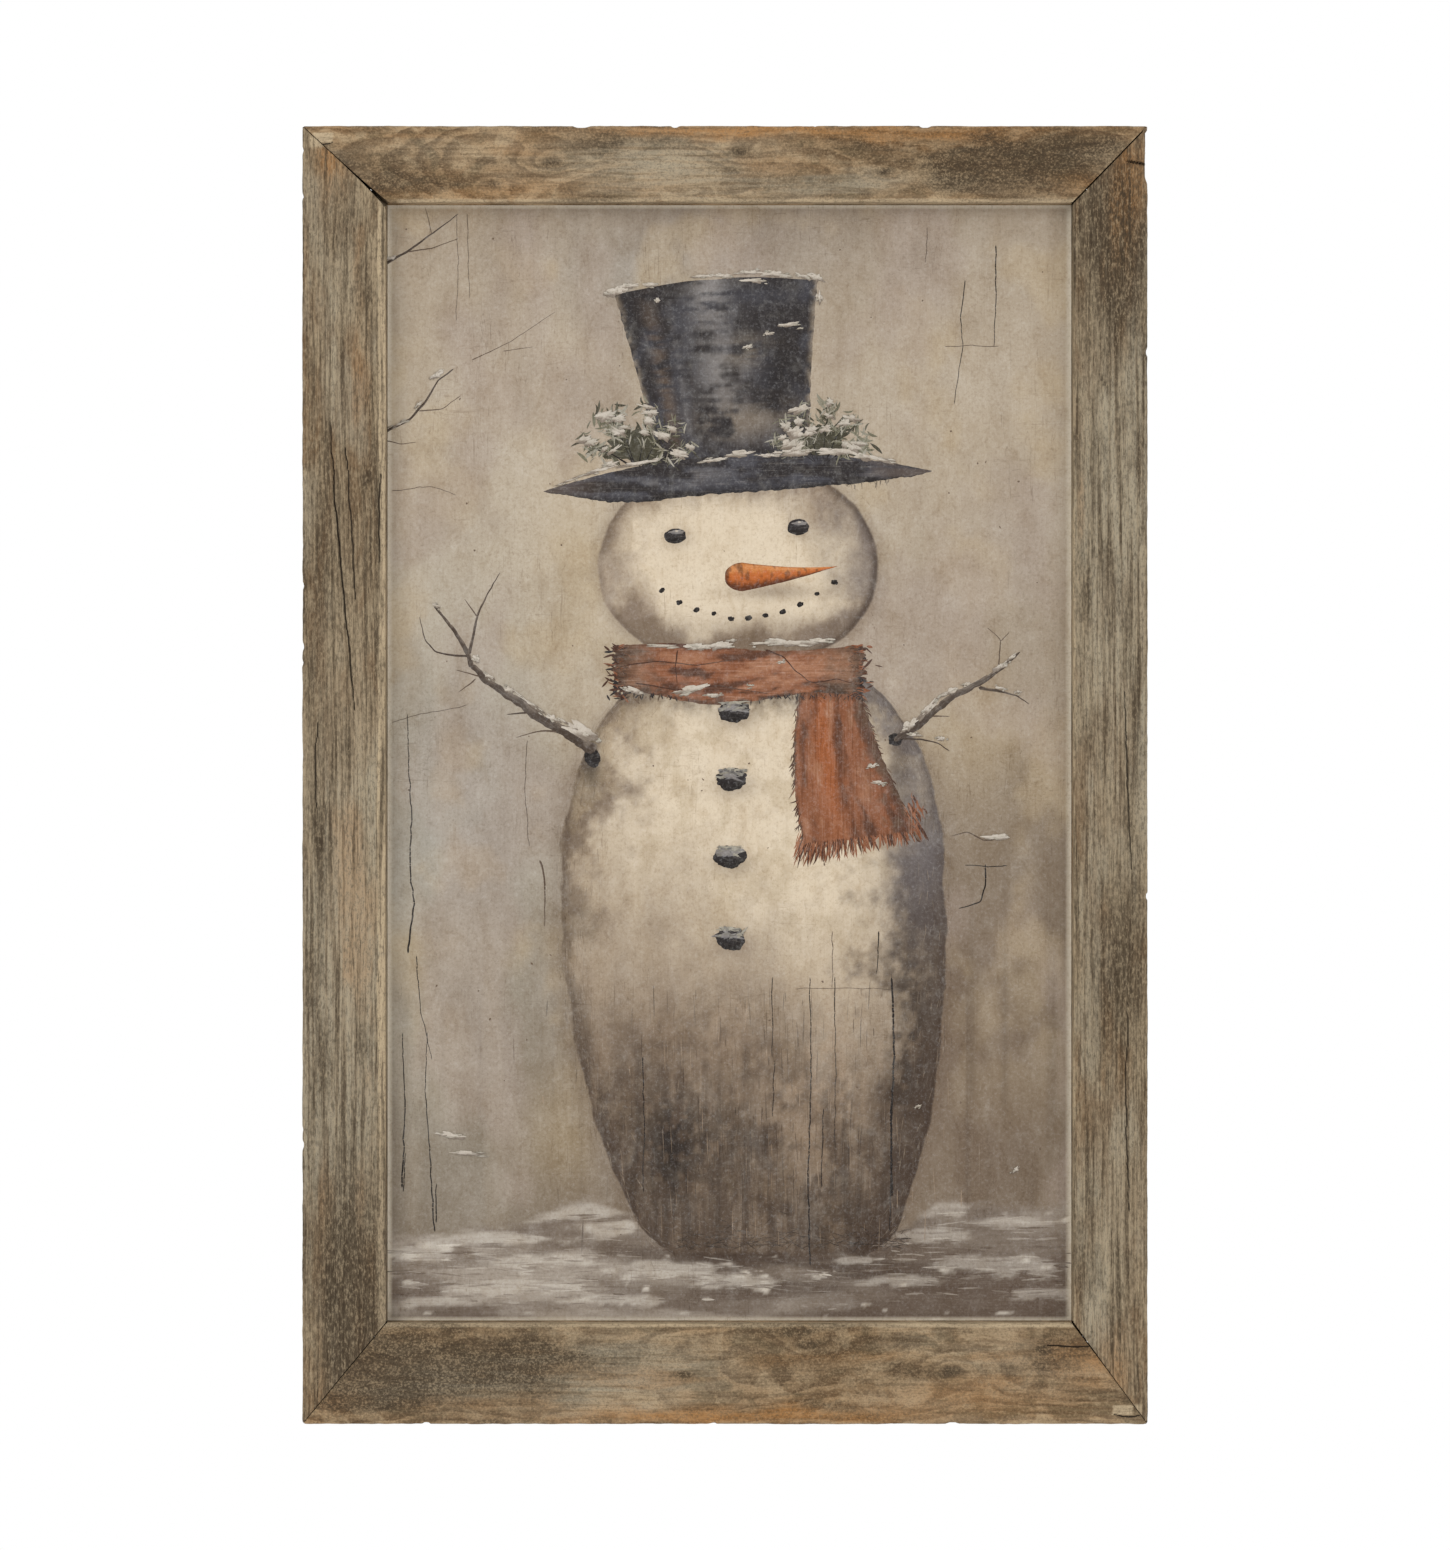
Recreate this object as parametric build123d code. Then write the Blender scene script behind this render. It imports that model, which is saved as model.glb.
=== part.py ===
from build123d import *

import os
from math import atan2, degrees

# A snowman print in a reclaimed-wood frame, hung on a wall. All sizes are in millimetres.
# +X is right and +Z is up as seen from the front, and +Y points back, into the wall.
# The origin is on the wall, midway between the two hanger rings.

# Frame: outer size, the width of each rail's face and the section that all four share.
frame_width = 381.0
frame_height = 585.0
left_rail_width = 38.0
right_rail_width = 34.0
top_rail_width = 35.0
bottom_rail_width = 46.0
rail_depth = 19.0
rabbet_width = 8.0
worn_arris = 1.2

# What lies in the rabbet, from the front: print, mount board, backing board.
canvas_thickness = 0.5
mount_board_thickness = 5.0
backing_board_thickness = 3.0
board_clearance = 1.0
board_recess = 0.1

# Pan-head screws, one size throughout.
screw_radius = 1.75
screw_length = 12.7
screw_tip = 2.5
screw_head_radius = 3.4
screw_head_height = 1.8
screw_head_round = 0.9
recess_span = 3.6
recess_width = 0.7
recess_depth = 1.1
pilot_gap = 0.05
running_gap = 0.08

# Turn buttons: a tapered plate that turns on its screw.
button_thickness = 1.0
button_hub_radius = 4.5
button_tip_radius = 3.0
button_reach = 19.0
button_edge_round = 0.25
button_setback = 6.0
button_face_gap = 0.1
upper_button_drop = 75.0
lower_button_rise = 120.0

# Hangers: a folded strap round the straight bar of a D-ring, on each side rail.
hanger_drop = 150.0
strap_width = 12.0
strap_sheet = 0.9
strap_length = 26.0
strap_edge_margin = 3.0
strap_corner_radius = 3.0
strap_screw_distances = (8.5, 18.5)
strap_screw_gap = 0.35
ring_wire_radius = 1.1
ring_inside_width = 14.0
ring_corner_radius = 2.0
ring_reach = 14.0

# Fasteners of the mitres.
nail_leg = 5.0
nail_sheet = 0.6
nail_depth = 7.0
nail_places = (0.3, 0.58)
brad_radius = 0.6
brad_length = 30.0
brad_set_depth = 1.0
brad_corner_distance = 12.0
end_brad_lead = 3.0
side_brad_lead = 4.0

# Rubber bumpers on the bottom rail. They stand proud of everything else at the back.
bumper_radius = 5.0
bumper_height = 5.0
bumper_round = 1.5
bumper_side_distance = 40.0
bumper_rise = 14.0

# Planes and edges that follow from the sizes above.
left, right = -frame_width / 2, frame_width / 2
top, bottom = hanger_drop, hanger_drop - frame_height
back = -bumper_height
front = back - rail_depth
sight_left, sight_right = left + left_rail_width, right - right_rail_width
sight_bottom, sight_top = bottom + bottom_rail_width, top - top_rail_width
backing_face = back - board_recess
mount_face = backing_face - backing_board_thickness
canvas_back = mount_face - mount_board_thickness
rabbet_depth = back - (canvas_back - canvas_thickness)
ring_axis = back + strap_sheet + ring_wire_radius + running_gap
end_brad_axis = back - nail_depth - end_brad_lead
side_brad_axis = end_brad_axis - side_brad_lead
strap_thickness = 2 * strap_sheet
strap_bar = frame_width / 2 - strap_edge_margin - strap_length

outer_corners = [(left, bottom), (right, bottom), (right, top), (left, top)]
sight_corners = [
    (sight_left, sight_bottom),
    (sight_right, sight_bottom),
    (sight_right, sight_top),
    (sight_left, sight_top),
]
rail_names = ["rail_bottom", "rail_right", "rail_top", "rail_left"]

base = (Align.CENTER, Align.CENTER, Align.MIN)


def facing_back(x, y, z):
    """A plane at a point, its normal towards the wall and its x along the row's X."""
    return Plane(origin=(x, y, z), x_dir=(1, 0, 0), z_dir=(0, 1, 0))


def slab(outline, y_back, depth):
    """A flat piece with a straight-sided outline in X and Z, its back face at y_back."""
    face = make_face(Polyline(*outline, close=True))
    return extrude(Plane.XZ.offset(-y_back) * face, depth)


def panel(margin, y_back, depth):
    """A rectangular sheet that reaches past the sight opening by the margin on all sides."""
    x0, x1 = sight_left - margin, sight_right + margin
    z0, z1 = sight_bottom - margin, sight_top + margin
    return slab([(x0, z0), (x1, z0), (x1, z1), (x0, z1)], y_back, depth)


def screw(x, y_seat, z):
    """A pan-head wood screw, its head's underside at y_seat and its tip towards the front."""
    seat = facing_back(x, y_seat, z)
    head = seat * Cylinder(screw_head_radius, screw_head_height, align=base)
    head = fillet(head.edges().sort_by(Axis.Y)[-1], screw_head_round)
    down = Plane(origin=seat.origin, x_dir=(1, 0, 0), z_dir=(0, -1, 0))
    shank_length = screw_length - screw_tip
    shank = down * Cylinder(screw_radius, shank_length, align=base)
    tip = down.offset(shank_length) * Cone(screw_radius, 0.2, screw_tip, align=base)
    bit = seat.offset(screw_head_height - recess_depth)
    cross = bit * Box(recess_span, recess_width, screw_head_height, align=base)
    cross += bit * Box(recess_width, recess_span, screw_head_height, align=base)
    return head + shank + tip - cross


def pilot_hole(x, z):
    """The hole that a screw makes in a rail, open at the rail's back face."""
    depth = screw_length + pilot_gap
    hole = Plane(origin=(x, back, z), x_dir=(1, 0, 0), z_dir=(0, -1, 0))
    return hole * Cylinder(screw_radius + pilot_gap, depth, align=base)


def turn_button(x, z, inward):
    """A tapered plate with its pivot at x, z and its long end pointing inward, in degrees."""
    hub = Circle(button_hub_radius)
    tip = Pos(button_reach - button_tip_radius, 0) * Circle(button_tip_radius)
    outline = make_hull(hub.edges() + tip.edges()) - Circle(screw_radius + running_gap)
    at = Plane.XZ.offset(-(back + button_face_gap)) * Pos(x, z) * Rot(0, 0, inward)
    plate = extrude(at * outline, -button_thickness)
    return fillet(plate.edges().group_by(Axis.Y)[-1], button_edge_round)


def hanger_strap(side):
    """A strap folded flat on itself, with its loop round the ring's bar at the inner end."""
    loop_radius = ring_wire_radius + running_gap + strap_sheet
    bar = (side * strap_bar, ring_axis)
    end = side * (strap_bar + strap_length)
    slope_end = side * (strap_bar + 2 * loop_radius)
    flat = back + strap_thickness
    section = make_face(
        Polyline(
            (bar[0], back), (end, back), (end, flat), (slope_end, flat),
            (bar[0], ring_axis + loop_radius), close=True,
        )
    )
    section += Pos(*bar) * Circle(loop_radius)
    section -= Pos(*bar) * Circle(ring_wire_radius + running_gap)
    strap = extrude(Plane.XY.offset(-strap_width / 2) * section, strap_width)
    outer_end = strap.edges().filter_by(Axis.Y).filter_by(lambda e: abs(e.center().X - end) < 0.01)
    strap = fillet(outer_end, strap_corner_radius)
    for distance in strap_screw_distances:
        at = facing_back(side * (strap_bar + distance), back, 0)
        strap -= at * Cylinder(screw_radius + strap_screw_gap, strap_thickness, align=base)
    return strap


def hanger_ring(side):
    """A D-ring of round wire: a straight bar, two legs and a half circle, pointing inwards."""
    half = ring_inside_width / 2 + ring_wire_radius
    leg = ring_reach - half
    r = ring_corner_radius
    bar = Line((0, r - half), (0, half - r))
    corner_up = RadiusArc((0, half - r), (r, half), r)
    leg_up = Line((r, half), (leg, half))
    bow = ThreePointArc((leg, half), (ring_reach, 0), (leg, -half))
    leg_down = Line((leg, -half), (r, -half))
    corner_down = RadiusArc((r, -half), (0, r - half), r)
    path = Wire([bar, corner_up, leg_up, bow, leg_down, corner_down])
    section = Plane(origin=(0, 0, 0), x_dir=(1, 0, 0), z_dir=(0, 1, 0)) * Circle(ring_wire_radius)
    ring = sweep(section, path=path)
    lay = Plane(origin=(side * strap_bar, ring_axis, 0), x_dir=(-side, 0, 0), z_dir=(0, side, 0))
    return lay * ring


def v_nail(corner, place):
    """A V-shaped wedge nail across a mitre, pressed in flush with the back of the rails."""
    (x0, z0), (x1, z1) = outer_corners[corner], sight_corners[corner]
    apex = (x0 + place * (x1 - x0), z0 + place * (z1 - z0))
    along = degrees(atan2(z1 - z0, x1 - x0))
    leg = Box(nail_leg, nail_sheet, nail_depth, align=(Align.MIN, Align.CENTER, Align.MIN))
    at = Plane.XZ.offset(-back) * Pos(*apex) * Rot(0, 0, along)
    knee = Cylinder(nail_sheet / 2, nail_depth, align=base)
    return at * (Rot(0, 0, 45) * leg + Rot(0, 0, -45) * leg + knee)


def brad(corner, across, gap=0.0, to_surface=False):
    """A brad through a mitre, from the side rail's edge or from the end rail's edge."""
    x, z = outer_corners[corner]
    inward = (-1 if x > 0 else 1, -1 if z > bottom else 1)
    start = 0.0 if to_surface else brad_set_depth
    length = brad_length + brad_set_depth - start
    if across:
        origin = (x + inward[0] * start, side_brad_axis, z + inward[1] * brad_corner_distance)
        plane = Plane(origin=origin, z_dir=(inward[0], 0, 0))
    else:
        origin = (x + inward[0] * brad_corner_distance, end_brad_axis, z + inward[1] * start)
        plane = Plane(origin=origin, z_dir=(0, 0, inward[1]))
    return plane * Cylinder(brad_radius + gap, length, align=base)


def rail(corner, cutters):
    """One mitred rail between two corners, with its share of the rabbet and its holes."""
    following = (corner + 1) % 4
    outline = [
        outer_corners[corner], outer_corners[following],
        sight_corners[following], sight_corners[corner],
    ]
    body = slab(outline, back, rail_depth)
    run = Axis.X if corner % 2 == 0 else Axis.Z
    arrises = body.edges().group_by(Axis.Y)[0].filter_by(run)
    body = fillet(arrises, worn_arris)
    return body - panel(rabbet_width, back, rabbet_depth) - cutters


def bumper(side):
    """A round rubber bumper with a softened rim, its flat face against the wall."""
    at = facing_back(side * (frame_width / 2 - bumper_side_distance), back, bottom + bumper_rise)
    body = at * Cylinder(bumper_radius, bumper_height, align=base)
    return fillet(body.edges().sort_by(Axis.Y)[-1], bumper_round)


def write(name, *solids):
    """Save one node as a STEP file of one solid, or of several separate ones."""
    shape = solids[0] if len(solids) == 1 else Compound(children=list(solids))
    shape.label = name
    export_step(shape, f"parts/{name}.step")


os.makedirs("parts", exist_ok=True)

# Each button's name with its pivot and the direction of its long end.
pivot_margin = rabbet_width + button_setback
left_pivot, right_pivot = sight_left - pivot_margin, sight_right + pivot_margin
upper_pivot, lower_pivot = top - upper_button_drop, bottom + lower_button_rise
buttons = {
    "turn_button_left_upper": (left_pivot, upper_pivot, 0),
    "turn_button_left_lower": (left_pivot, lower_pivot, 0),
    "turn_button_right_upper": (right_pivot, upper_pivot, 180),
    "turn_button_right_lower": (right_pivot, lower_pivot, 180),
    "turn_button_top": (0.0, sight_top + pivot_margin, -90),
    "turn_button_bottom": (0.0, sight_bottom - pivot_margin, 90),
}
for name, (x, z, inward) in buttons.items():
    write(name, turn_button(x, z, inward))
button_screw_seat = back + button_thickness + 2 * button_face_gap
write("turn_button_screws", *[screw(x, button_screw_seat, z) for x, z, _ in buttons.values()])

strap_screw_places = [(s * (strap_bar + d), 0.0) for s in (-1, 1) for d in strap_screw_distances]
write("hanger_screws", *[screw(x, back + strap_thickness, z) for x, z in strap_screw_places])
for word, side in (("left", -1), ("right", 1)):
    write(f"hanger_strap_{word}", hanger_strap(side))
    write(f"hanger_ring_{word}", hanger_ring(side))

v_nails = [v_nail(corner, place) for corner in range(4) for place in nail_places]
write("corner_v_nails", *v_nails)
brad_ways = [(corner, across) for corner in range(4) for across in (True, False)]
write("corner_brads", *[brad(corner, across) for corner, across in brad_ways])

screw_places = [(x, z) for x, z, _ in buttons.values()] + strap_screw_places
cutters = [pilot_hole(x, z) for x, z in screw_places] + v_nails
cutters += [brad(corner, across, pilot_gap, True) for corner, across in brad_ways]
for corner, name in enumerate(rail_names):
    write(name, rail(corner, cutters))

board_margin = rabbet_width - board_clearance
write("canvas_print", panel(board_margin, canvas_back, canvas_thickness))
write("mount_board", panel(board_margin, mount_face, mount_board_thickness))
write("backing_board", panel(board_margin, backing_face, backing_board_thickness))
write("wall_bumpers", bumper(-1), bumper(1))

print("sight opening", sight_right - sight_left, "x", sight_top - sight_bottom)
print("front", front, "canvas face", canvas_back - canvas_thickness, "ring axis", ring_axis)
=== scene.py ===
import bpy
import numpy as np
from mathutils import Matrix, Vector


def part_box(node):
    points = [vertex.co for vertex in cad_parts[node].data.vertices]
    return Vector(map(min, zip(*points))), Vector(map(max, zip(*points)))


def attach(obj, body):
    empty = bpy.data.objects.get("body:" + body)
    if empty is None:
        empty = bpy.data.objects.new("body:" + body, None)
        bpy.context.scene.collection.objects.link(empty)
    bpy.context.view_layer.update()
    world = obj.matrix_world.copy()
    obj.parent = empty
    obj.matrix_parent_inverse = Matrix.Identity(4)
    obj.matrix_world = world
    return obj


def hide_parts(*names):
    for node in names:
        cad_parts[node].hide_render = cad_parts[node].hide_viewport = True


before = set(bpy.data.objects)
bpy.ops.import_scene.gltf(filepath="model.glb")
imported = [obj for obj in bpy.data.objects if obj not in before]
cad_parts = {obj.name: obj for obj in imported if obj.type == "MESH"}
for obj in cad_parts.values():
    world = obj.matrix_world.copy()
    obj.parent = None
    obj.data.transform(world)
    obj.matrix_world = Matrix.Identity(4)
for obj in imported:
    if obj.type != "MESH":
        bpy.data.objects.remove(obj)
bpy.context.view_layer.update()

# A snowman picture in a reclaimed-wood frame. Every length in this script is in millimetres and is
# turned into metres where a mesh is made. +X is right, +Z up, and the picture faces -Y.
METRE = 1000.0

BODY = "frame"


def node_box(name):
    """The lowest and highest corners of a CAD node, in millimetres."""
    low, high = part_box(name)
    return np.array(low) * METRE, np.array(high) * METRE


rail_boxes = {side: node_box(f"rail_{side}") for side in ("left", "right", "top", "bottom")}
canvas_low, canvas_high = node_box("canvas_print")
LEFT, FRONT, BOTTOM = np.min([low for low, _ in rail_boxes.values()], axis=0)
RIGHT, BACK, TOP = np.max([high for _, high in rail_boxes.values()], axis=0)
SIGHT_LEFT, SIGHT_RIGHT = rail_boxes["left"][1][0], rail_boxes["right"][0][0]
SIGHT_BOTTOM, SIGHT_TOP = rail_boxes["bottom"][1][2], rail_boxes["top"][0][2]
CANVAS_FACE = canvas_low[1]
RAIL_DEPTH = BACK - FRONT
LIP_DEPTH = CANVAS_FACE - FRONT
RABBET_WIDTH = 8.0


# ---------------------------------------------------------------- random fields

def scattered(i, j, k, seed):
    """A repeatable random number from 0 to 1 for each whole-number lattice point."""
    h = (i * 73856093) ^ (j * 19349663) ^ (k * 83492791) ^ (seed * 15485863)
    h = ((h ^ (h >> 13)) * 1274126177) & 0x7FFFFFFF
    return ((h ^ (h >> 15)) & 0xFFFF) / 65535.0


def noise(x, y, z=0.0, seed=0):
    """A smooth random field from 0 to 1: a random value at each lattice point, eased between them."""
    x, y, z = np.broadcast_arrays(x, y, z)
    cells = [np.floor(a).astype(np.int64) for a in (x, y, z)]
    parts = [a - c for a, c in zip((x, y, z), cells)]
    eased = [t * t * (3 - 2 * t) for t in parts]
    total = np.zeros(x.shape)
    for corner in np.ndindex(2, 2, 2):
        weight = np.ones(x.shape)
        for upper, ease in zip(corner, eased):
            weight = weight * (ease if upper else 1 - ease)
        i, j, k = (cell + upper for cell, upper in zip(cells, corner))
        total += weight * scattered(i, j, k, seed)
    return total


def clouds(x, y, z=0.0, seed=0, octaves=4):
    """Noise added to itself at double the frequency and half the height, scaled back to 0 to 1."""
    total, height, reach = 0.0, 1.0, 0.0
    for octave in range(octaves):
        size = 2.0**octave
        total = total + height * noise(x * size, y * size, z * size, seed + octave)
        reach += height
        height *= 0.5
    return total / reach


def step(value, low, high):
    """An eased step, 3 t^2 - 2 t^3, from 0 below low to 1 above high; high may be the lower one."""
    t = np.clip((value - low) / (high - low), 0, 1)
    return t * t * (3 - 2 * t)


def mix(a, b, amount):
    """A colour between a and b at each point, where amount is a field from 0 to 1."""
    amount = np.asarray(amount, dtype=float)[..., None]
    return np.asarray(a) * (1 - amount) + np.asarray(b) * amount


def layered(colour, *washes):
    """A colour with thin washes laid over it in turn, each as (colour, amount)."""
    for wash, amount in washes:
        colour = mix(colour, wash, amount)
    return colour


def hill(x, y, x0, y0, half_x, half_y):
    """A bell, e^-(dx^2 + dy^2), that is 1 at x0, y0, where dx and dy are counted in half widths."""
    return np.exp(-(((x - x0) / half_x) ** 2) - ((y - y0) / half_y) ** 2)


# ---------------------------------------------------------------- meshes

def grid_faces(rows, columns, wrap=False, first=0):
    """Quads between neighbouring rows and columns; wrap joins the last column to the first."""
    at = np.arange(rows * columns).reshape(rows, columns) + first
    if wrap:
        at = np.concatenate([at, at[:, :1]], axis=1)
    quads = np.stack([at[:-1, :-1], at[:-1, 1:], at[1:, 1:], at[1:, :-1]], axis=-1)
    return quads.reshape(-1, 4)


def make_piece(name, points, faces, material, nodes=(), fields=None):
    """One visible piece from points in millimetres, with its per-point fields as attributes."""
    mesh = bpy.data.meshes.new(name)
    mesh.from_pydata((np.asarray(points) / METRE).tolist(), [], [list(face) for face in faces])
    for field, values in (fields or {}).items():
        values = np.asarray(values, dtype=np.float32)
        if values.ndim == 1:
            mesh.attributes.new(field, "FLOAT", "POINT").data.foreach_set("value", values)
        elif values.shape[1] == 3:
            mesh.attributes.new(field, "FLOAT_VECTOR", "POINT").data.foreach_set("vector", values.ravel())
        else:
            mesh.attributes.new(field, "FLOAT_COLOR", "POINT").data.foreach_set("color", values.ravel())
    mesh.materials.append(material)
    mesh.update()
    mesh.shade_smooth()
    piece = bpy.data.objects.new(name, mesh)
    bpy.context.scene.collection.objects.link(piece)
    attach(piece, BODY)
    if nodes:
        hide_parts(*nodes)
    return piece


# ---------------------------------------------------------------- materials

class Finish:
    """Builds one material's nodes from short calls. Each call returns an output to pass on."""

    def __init__(self, name):
        self.material = bpy.data.materials.new(name)
        self.material.use_nodes = True
        self.tree = self.material.node_tree
        self.tree.nodes.clear()

    def add(self, kind, inputs, output=0, **settings):
        """A node of one kind, with its inputs given by name or number as numbers or outputs."""
        node = self.tree.nodes.new("ShaderNode" + kind)
        for key, value in settings.items():
            setattr(node, key, value)
        for key, value in inputs.items():
            if isinstance(value, bpy.types.NodeSocket):
                self.tree.links.new(value, node.inputs[key])
            else:
                node.inputs[key].default_value = value
        return node.outputs[output]

    def field(self, name, output="Fac"):
        """One of the piece's own attributes."""
        return self.add("Attribute", {}, output, attribute_name=name)

    def place(self, scale=(METRE, METRE, METRE)):
        """Object coordinates, in millimetres unless scaled otherwise."""
        here = self.add("TexCoord", {}, "Object")
        return self.stretch(here, scale)

    def stretch(self, vector, scale):
        """A vector with each coordinate multiplied by its own number."""
        return self.add("VectorMath", {0: vector, 1: scale}, operation="MULTIPLY")

    def maths(self, operation, a, b=0.0, c=0.0):
        """One sum on up to three numbers or outputs."""
        return self.add("Math", {0: a, 1: b, 2: c}, operation=operation)

    def times(self, a, b):
        """The product a b."""
        return self.maths("MULTIPLY", a, b)

    def plus(self, first, *others):
        """All the terms added up in turn."""
        for term in others:
            first = self.maths("ADD", first, term)
        return first

    def grain(self, vector, scale=1.0, detail=3.0, roughness=0.55, distortion=0.0):
        """Noise from 0 to 1."""
        inputs = {
            "Vector": vector, "Scale": scale, "Detail": detail,
            "Roughness": roughness, "Distortion": distortion,
        }
        return self.add("TexNoise", inputs, "Fac")

    def ease(self, value, low, high, to_low=0.0, to_high=1.0):
        """An eased step of a value between low and high."""
        inputs = {0: value, 1: low, 2: high, 3: to_low, 4: to_high}
        return self.add("MapRange", inputs, interpolation_type="SMOOTHSTEP")

    def blend(self, amount, a, b, mode="MIX"):
        """Two colours mixed, or b laid over a in the given mode."""
        pair = {6: self.colour(a), 7: self.colour(b), 0: amount}
        return self.add("Mix", pair, 2, data_type="RGBA", blend_type=mode)

    def layers(self, colour, *washes):
        """A colour with others laid over it in turn, each as (amount, colour) or with a mode after it."""
        for amount, wash, *mode in washes:
            colour = self.blend(amount, colour, wash, *mode)
        return colour

    def split(self, colour):
        """A colour's three channels, as numbers."""
        return tuple(self.add("SeparateColor", {0: colour}).node.outputs)

    def colour(self, value):
        """An output as it is, or three numbers as a solid colour."""
        return value if isinstance(value, bpy.types.NodeSocket) else (*value[:3], 1.0)

    def bump(self, height, distance, strength=1.0, over=None):
        """A normal from a height from 0 to 1, where distance is its full height in millimetres."""
        inputs = {"Height": height, "Distance": distance / METRE, "Strength": strength}
        if over is not None:
            inputs["Normal"] = over
        return self.add("Bump", inputs)

    def surface(self, colour, roughness, normal=None, **fixed):
        """Closes the tree with one Principled shader and gives back the material."""
        node = self.tree.nodes.new("ShaderNodeBsdfPrincipled")
        for key, value in {"Base Color": colour, "Roughness": roughness, "Normal": normal}.items():
            if isinstance(value, bpy.types.NodeSocket):
                self.tree.links.new(value, node.inputs[key])
            elif value is not None:
                node.inputs[key].default_value = value
        for key, value in fixed.items():
            node.inputs[key.replace("_", " ")].default_value = value
        out = self.tree.nodes.new("ShaderNodeOutputMaterial")
        self.tree.links.new(node.outputs[0], out.inputs["Surface"])
        return self.material


SILVERED, UMBER = (0.330, 0.284, 0.204), (0.042, 0.029, 0.017)
HONEY, RAW_WOOD, CRACK_BLACK = (0.330, 0.150, 0.042), (0.430, 0.335, 0.215), (0.010, 0.007, 0.005)
# The woods of the two kinds of rail: early wood, late wood, and a darker and a paler patch.
STRAIGHT = ((0.268, 0.196, 0.118), (0.114, 0.077, 0.043), (0.158, 0.094, 0.046), (0.350, 0.274, 0.174))
BLOTCHY = ((0.305, 0.200, 0.106), (0.140, 0.084, 0.041), (0.118, 0.080, 0.040), (0.430, 0.318, 0.190))


def weathered_wood(name, woods, straight):
    """Old rough-sawn softwood. The piece's fields carry its growth rings and its weather. Straight
    is how much the fibres show over the blotches."""
    f = Finish(name)
    early_wood, late_wood, dark_wood, pale_wood = woods
    run = f.field("grain", "Vector")
    ring = f.field("ring")
    weather = f.field("weather", "Color")
    silver, stain, dirt = f.split(weather)
    worn = f.field("weather", "Alpha")
    crack = f.field("crack")

    wander = f.grain(f.stretch(run, (0.25, 0.25, 0.03)), 1.0, 3.0, 0.6)
    phase = f.maths("FRACT", f.plus(ring, f.times(wander, 0.6)))
    late = f.times(f.ease(phase, 0.25, 0.85), f.ease(phase, 1.0, 0.90))
    fibre = f.grain(f.stretch(run, (2.4, 2.4, 0.11)), 1.0, 5.0, 0.68)
    streak = f.grain(f.stretch(run, (0.55, 0.55, 0.014)), 1.0, 4.0, 0.62)
    blotch = f.grain(f.stretch(run, (0.060, 0.060, 0.016)), 1.0, 6.0, 0.62, 0.9)
    cloud = f.grain(f.stretch(run, (0.100, 0.100, 0.030)), 1.0, 6.0, 0.66, 0.7)
    speckle = f.grain(f.stretch(run, (1.15, 1.15, 0.45)), 1.0, 4.0, 0.72)
    pores = f.grain(f.stretch(run, (4.5, 4.5, 0.9)), 1.0, 2.0, 0.6)

    rings_seen = f.times(late, f.ease(cloud, 0.35, 0.60, 0.60, 1.0))
    ring_lines = f.times(late, f.ease(blotch, 0.40, 0.52, 0.0, 1.3 * (1 - straight)))
    wood = f.layers(
        early_wood,
        (rings_seen, late_wood),
        (f.ease(blotch, 0.50, 0.60, 0.0, 0.80), dark_wood),
        (f.ease(blotch, 0.50, 0.40, 0.0, 0.55), pale_wood),
        (f.ease(cloud, 0.54, 0.66, 0.0, 0.60), pale_wood),
        (ring_lines, late_wood),
        (f.times(silver, f.ease(streak, 0.35, 0.65, 0.45, 0.95)), SILVERED),
        (f.times(stain, f.ease(speckle, 0.35, 0.60, 0.45, 0.90)), HONEY),
        (f.times(worn, f.ease(speckle, 0.25, 0.55, 0.75, 1.0)), RAW_WOOD),
        (f.times(dirt, f.ease(speckle, 0.62, 0.38, 0.60, 0.92)), UMBER),
        (f.ease(streak, 0.32, 0.54, 0.80 * straight, 0.0), UMBER),
        (f.ease(fibre, 0.34, 0.50, 0.62 * straight, 0.0), UMBER),
        (f.ease(speckle, 0.36, 0.50, 0.26 + 0.22 * straight, 0.0), UMBER),
        (f.ease(speckle, 0.52, 0.66, 0.0, 0.20 + 0.22 * straight), pale_wood),
        (f.ease(fibre, 0.54, 0.70, 0.0, 0.45 * straight), pale_wood),
        (f.ease(pores, 0.30, 0.42, 0.45, 0.0), UMBER),
        (f.ease(crack, 0.15, 0.75, 0.0, 0.92), CRACK_BLACK),
    )

    height = f.plus(
        f.times(fibre, 0.50 * straight), f.times(late, 0.22), f.times(speckle, 0.35), f.times(pores, 0.20)
    )
    normal = f.bump(height, 0.32, 0.9)
    rough = f.ease(fibre, 0.3, 0.7, 0.94, 0.78)
    return f.surface(wood, rough, normal, IOR=1.45, Specular_IOR_Level=0.2)


# Tints that smoke the paint when multiplied in, and chalks that lift it when screened over.
BRISTLE_SHADE, SMOKE, PLASTER_SHADE = (0.56, 0.50, 0.46), (0.76, 0.70, 0.62), (0.69, 0.645, 0.61)
SPECK_BROWN, SCRATCH_BROWN = (0.45, 0.38, 0.33), (0.42, 0.35, 0.28)
BRISTLE_CHALK, RUBBED_CHALK, CHALK = (0.16, 0.14, 0.12), (0.14, 0.130, 0.118), (0.10, 0.095, 0.085)
PLASTER_CHALK = (0.13, 0.13, 0.130)
# Fine scratches in the paint, upright and level, as the noise's stretch and how dark they are.
SCRATCHES = (((0.26, 1.0, 0.016), 0.50), ((0.014, 1.0, 0.20), 0.32))


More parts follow.
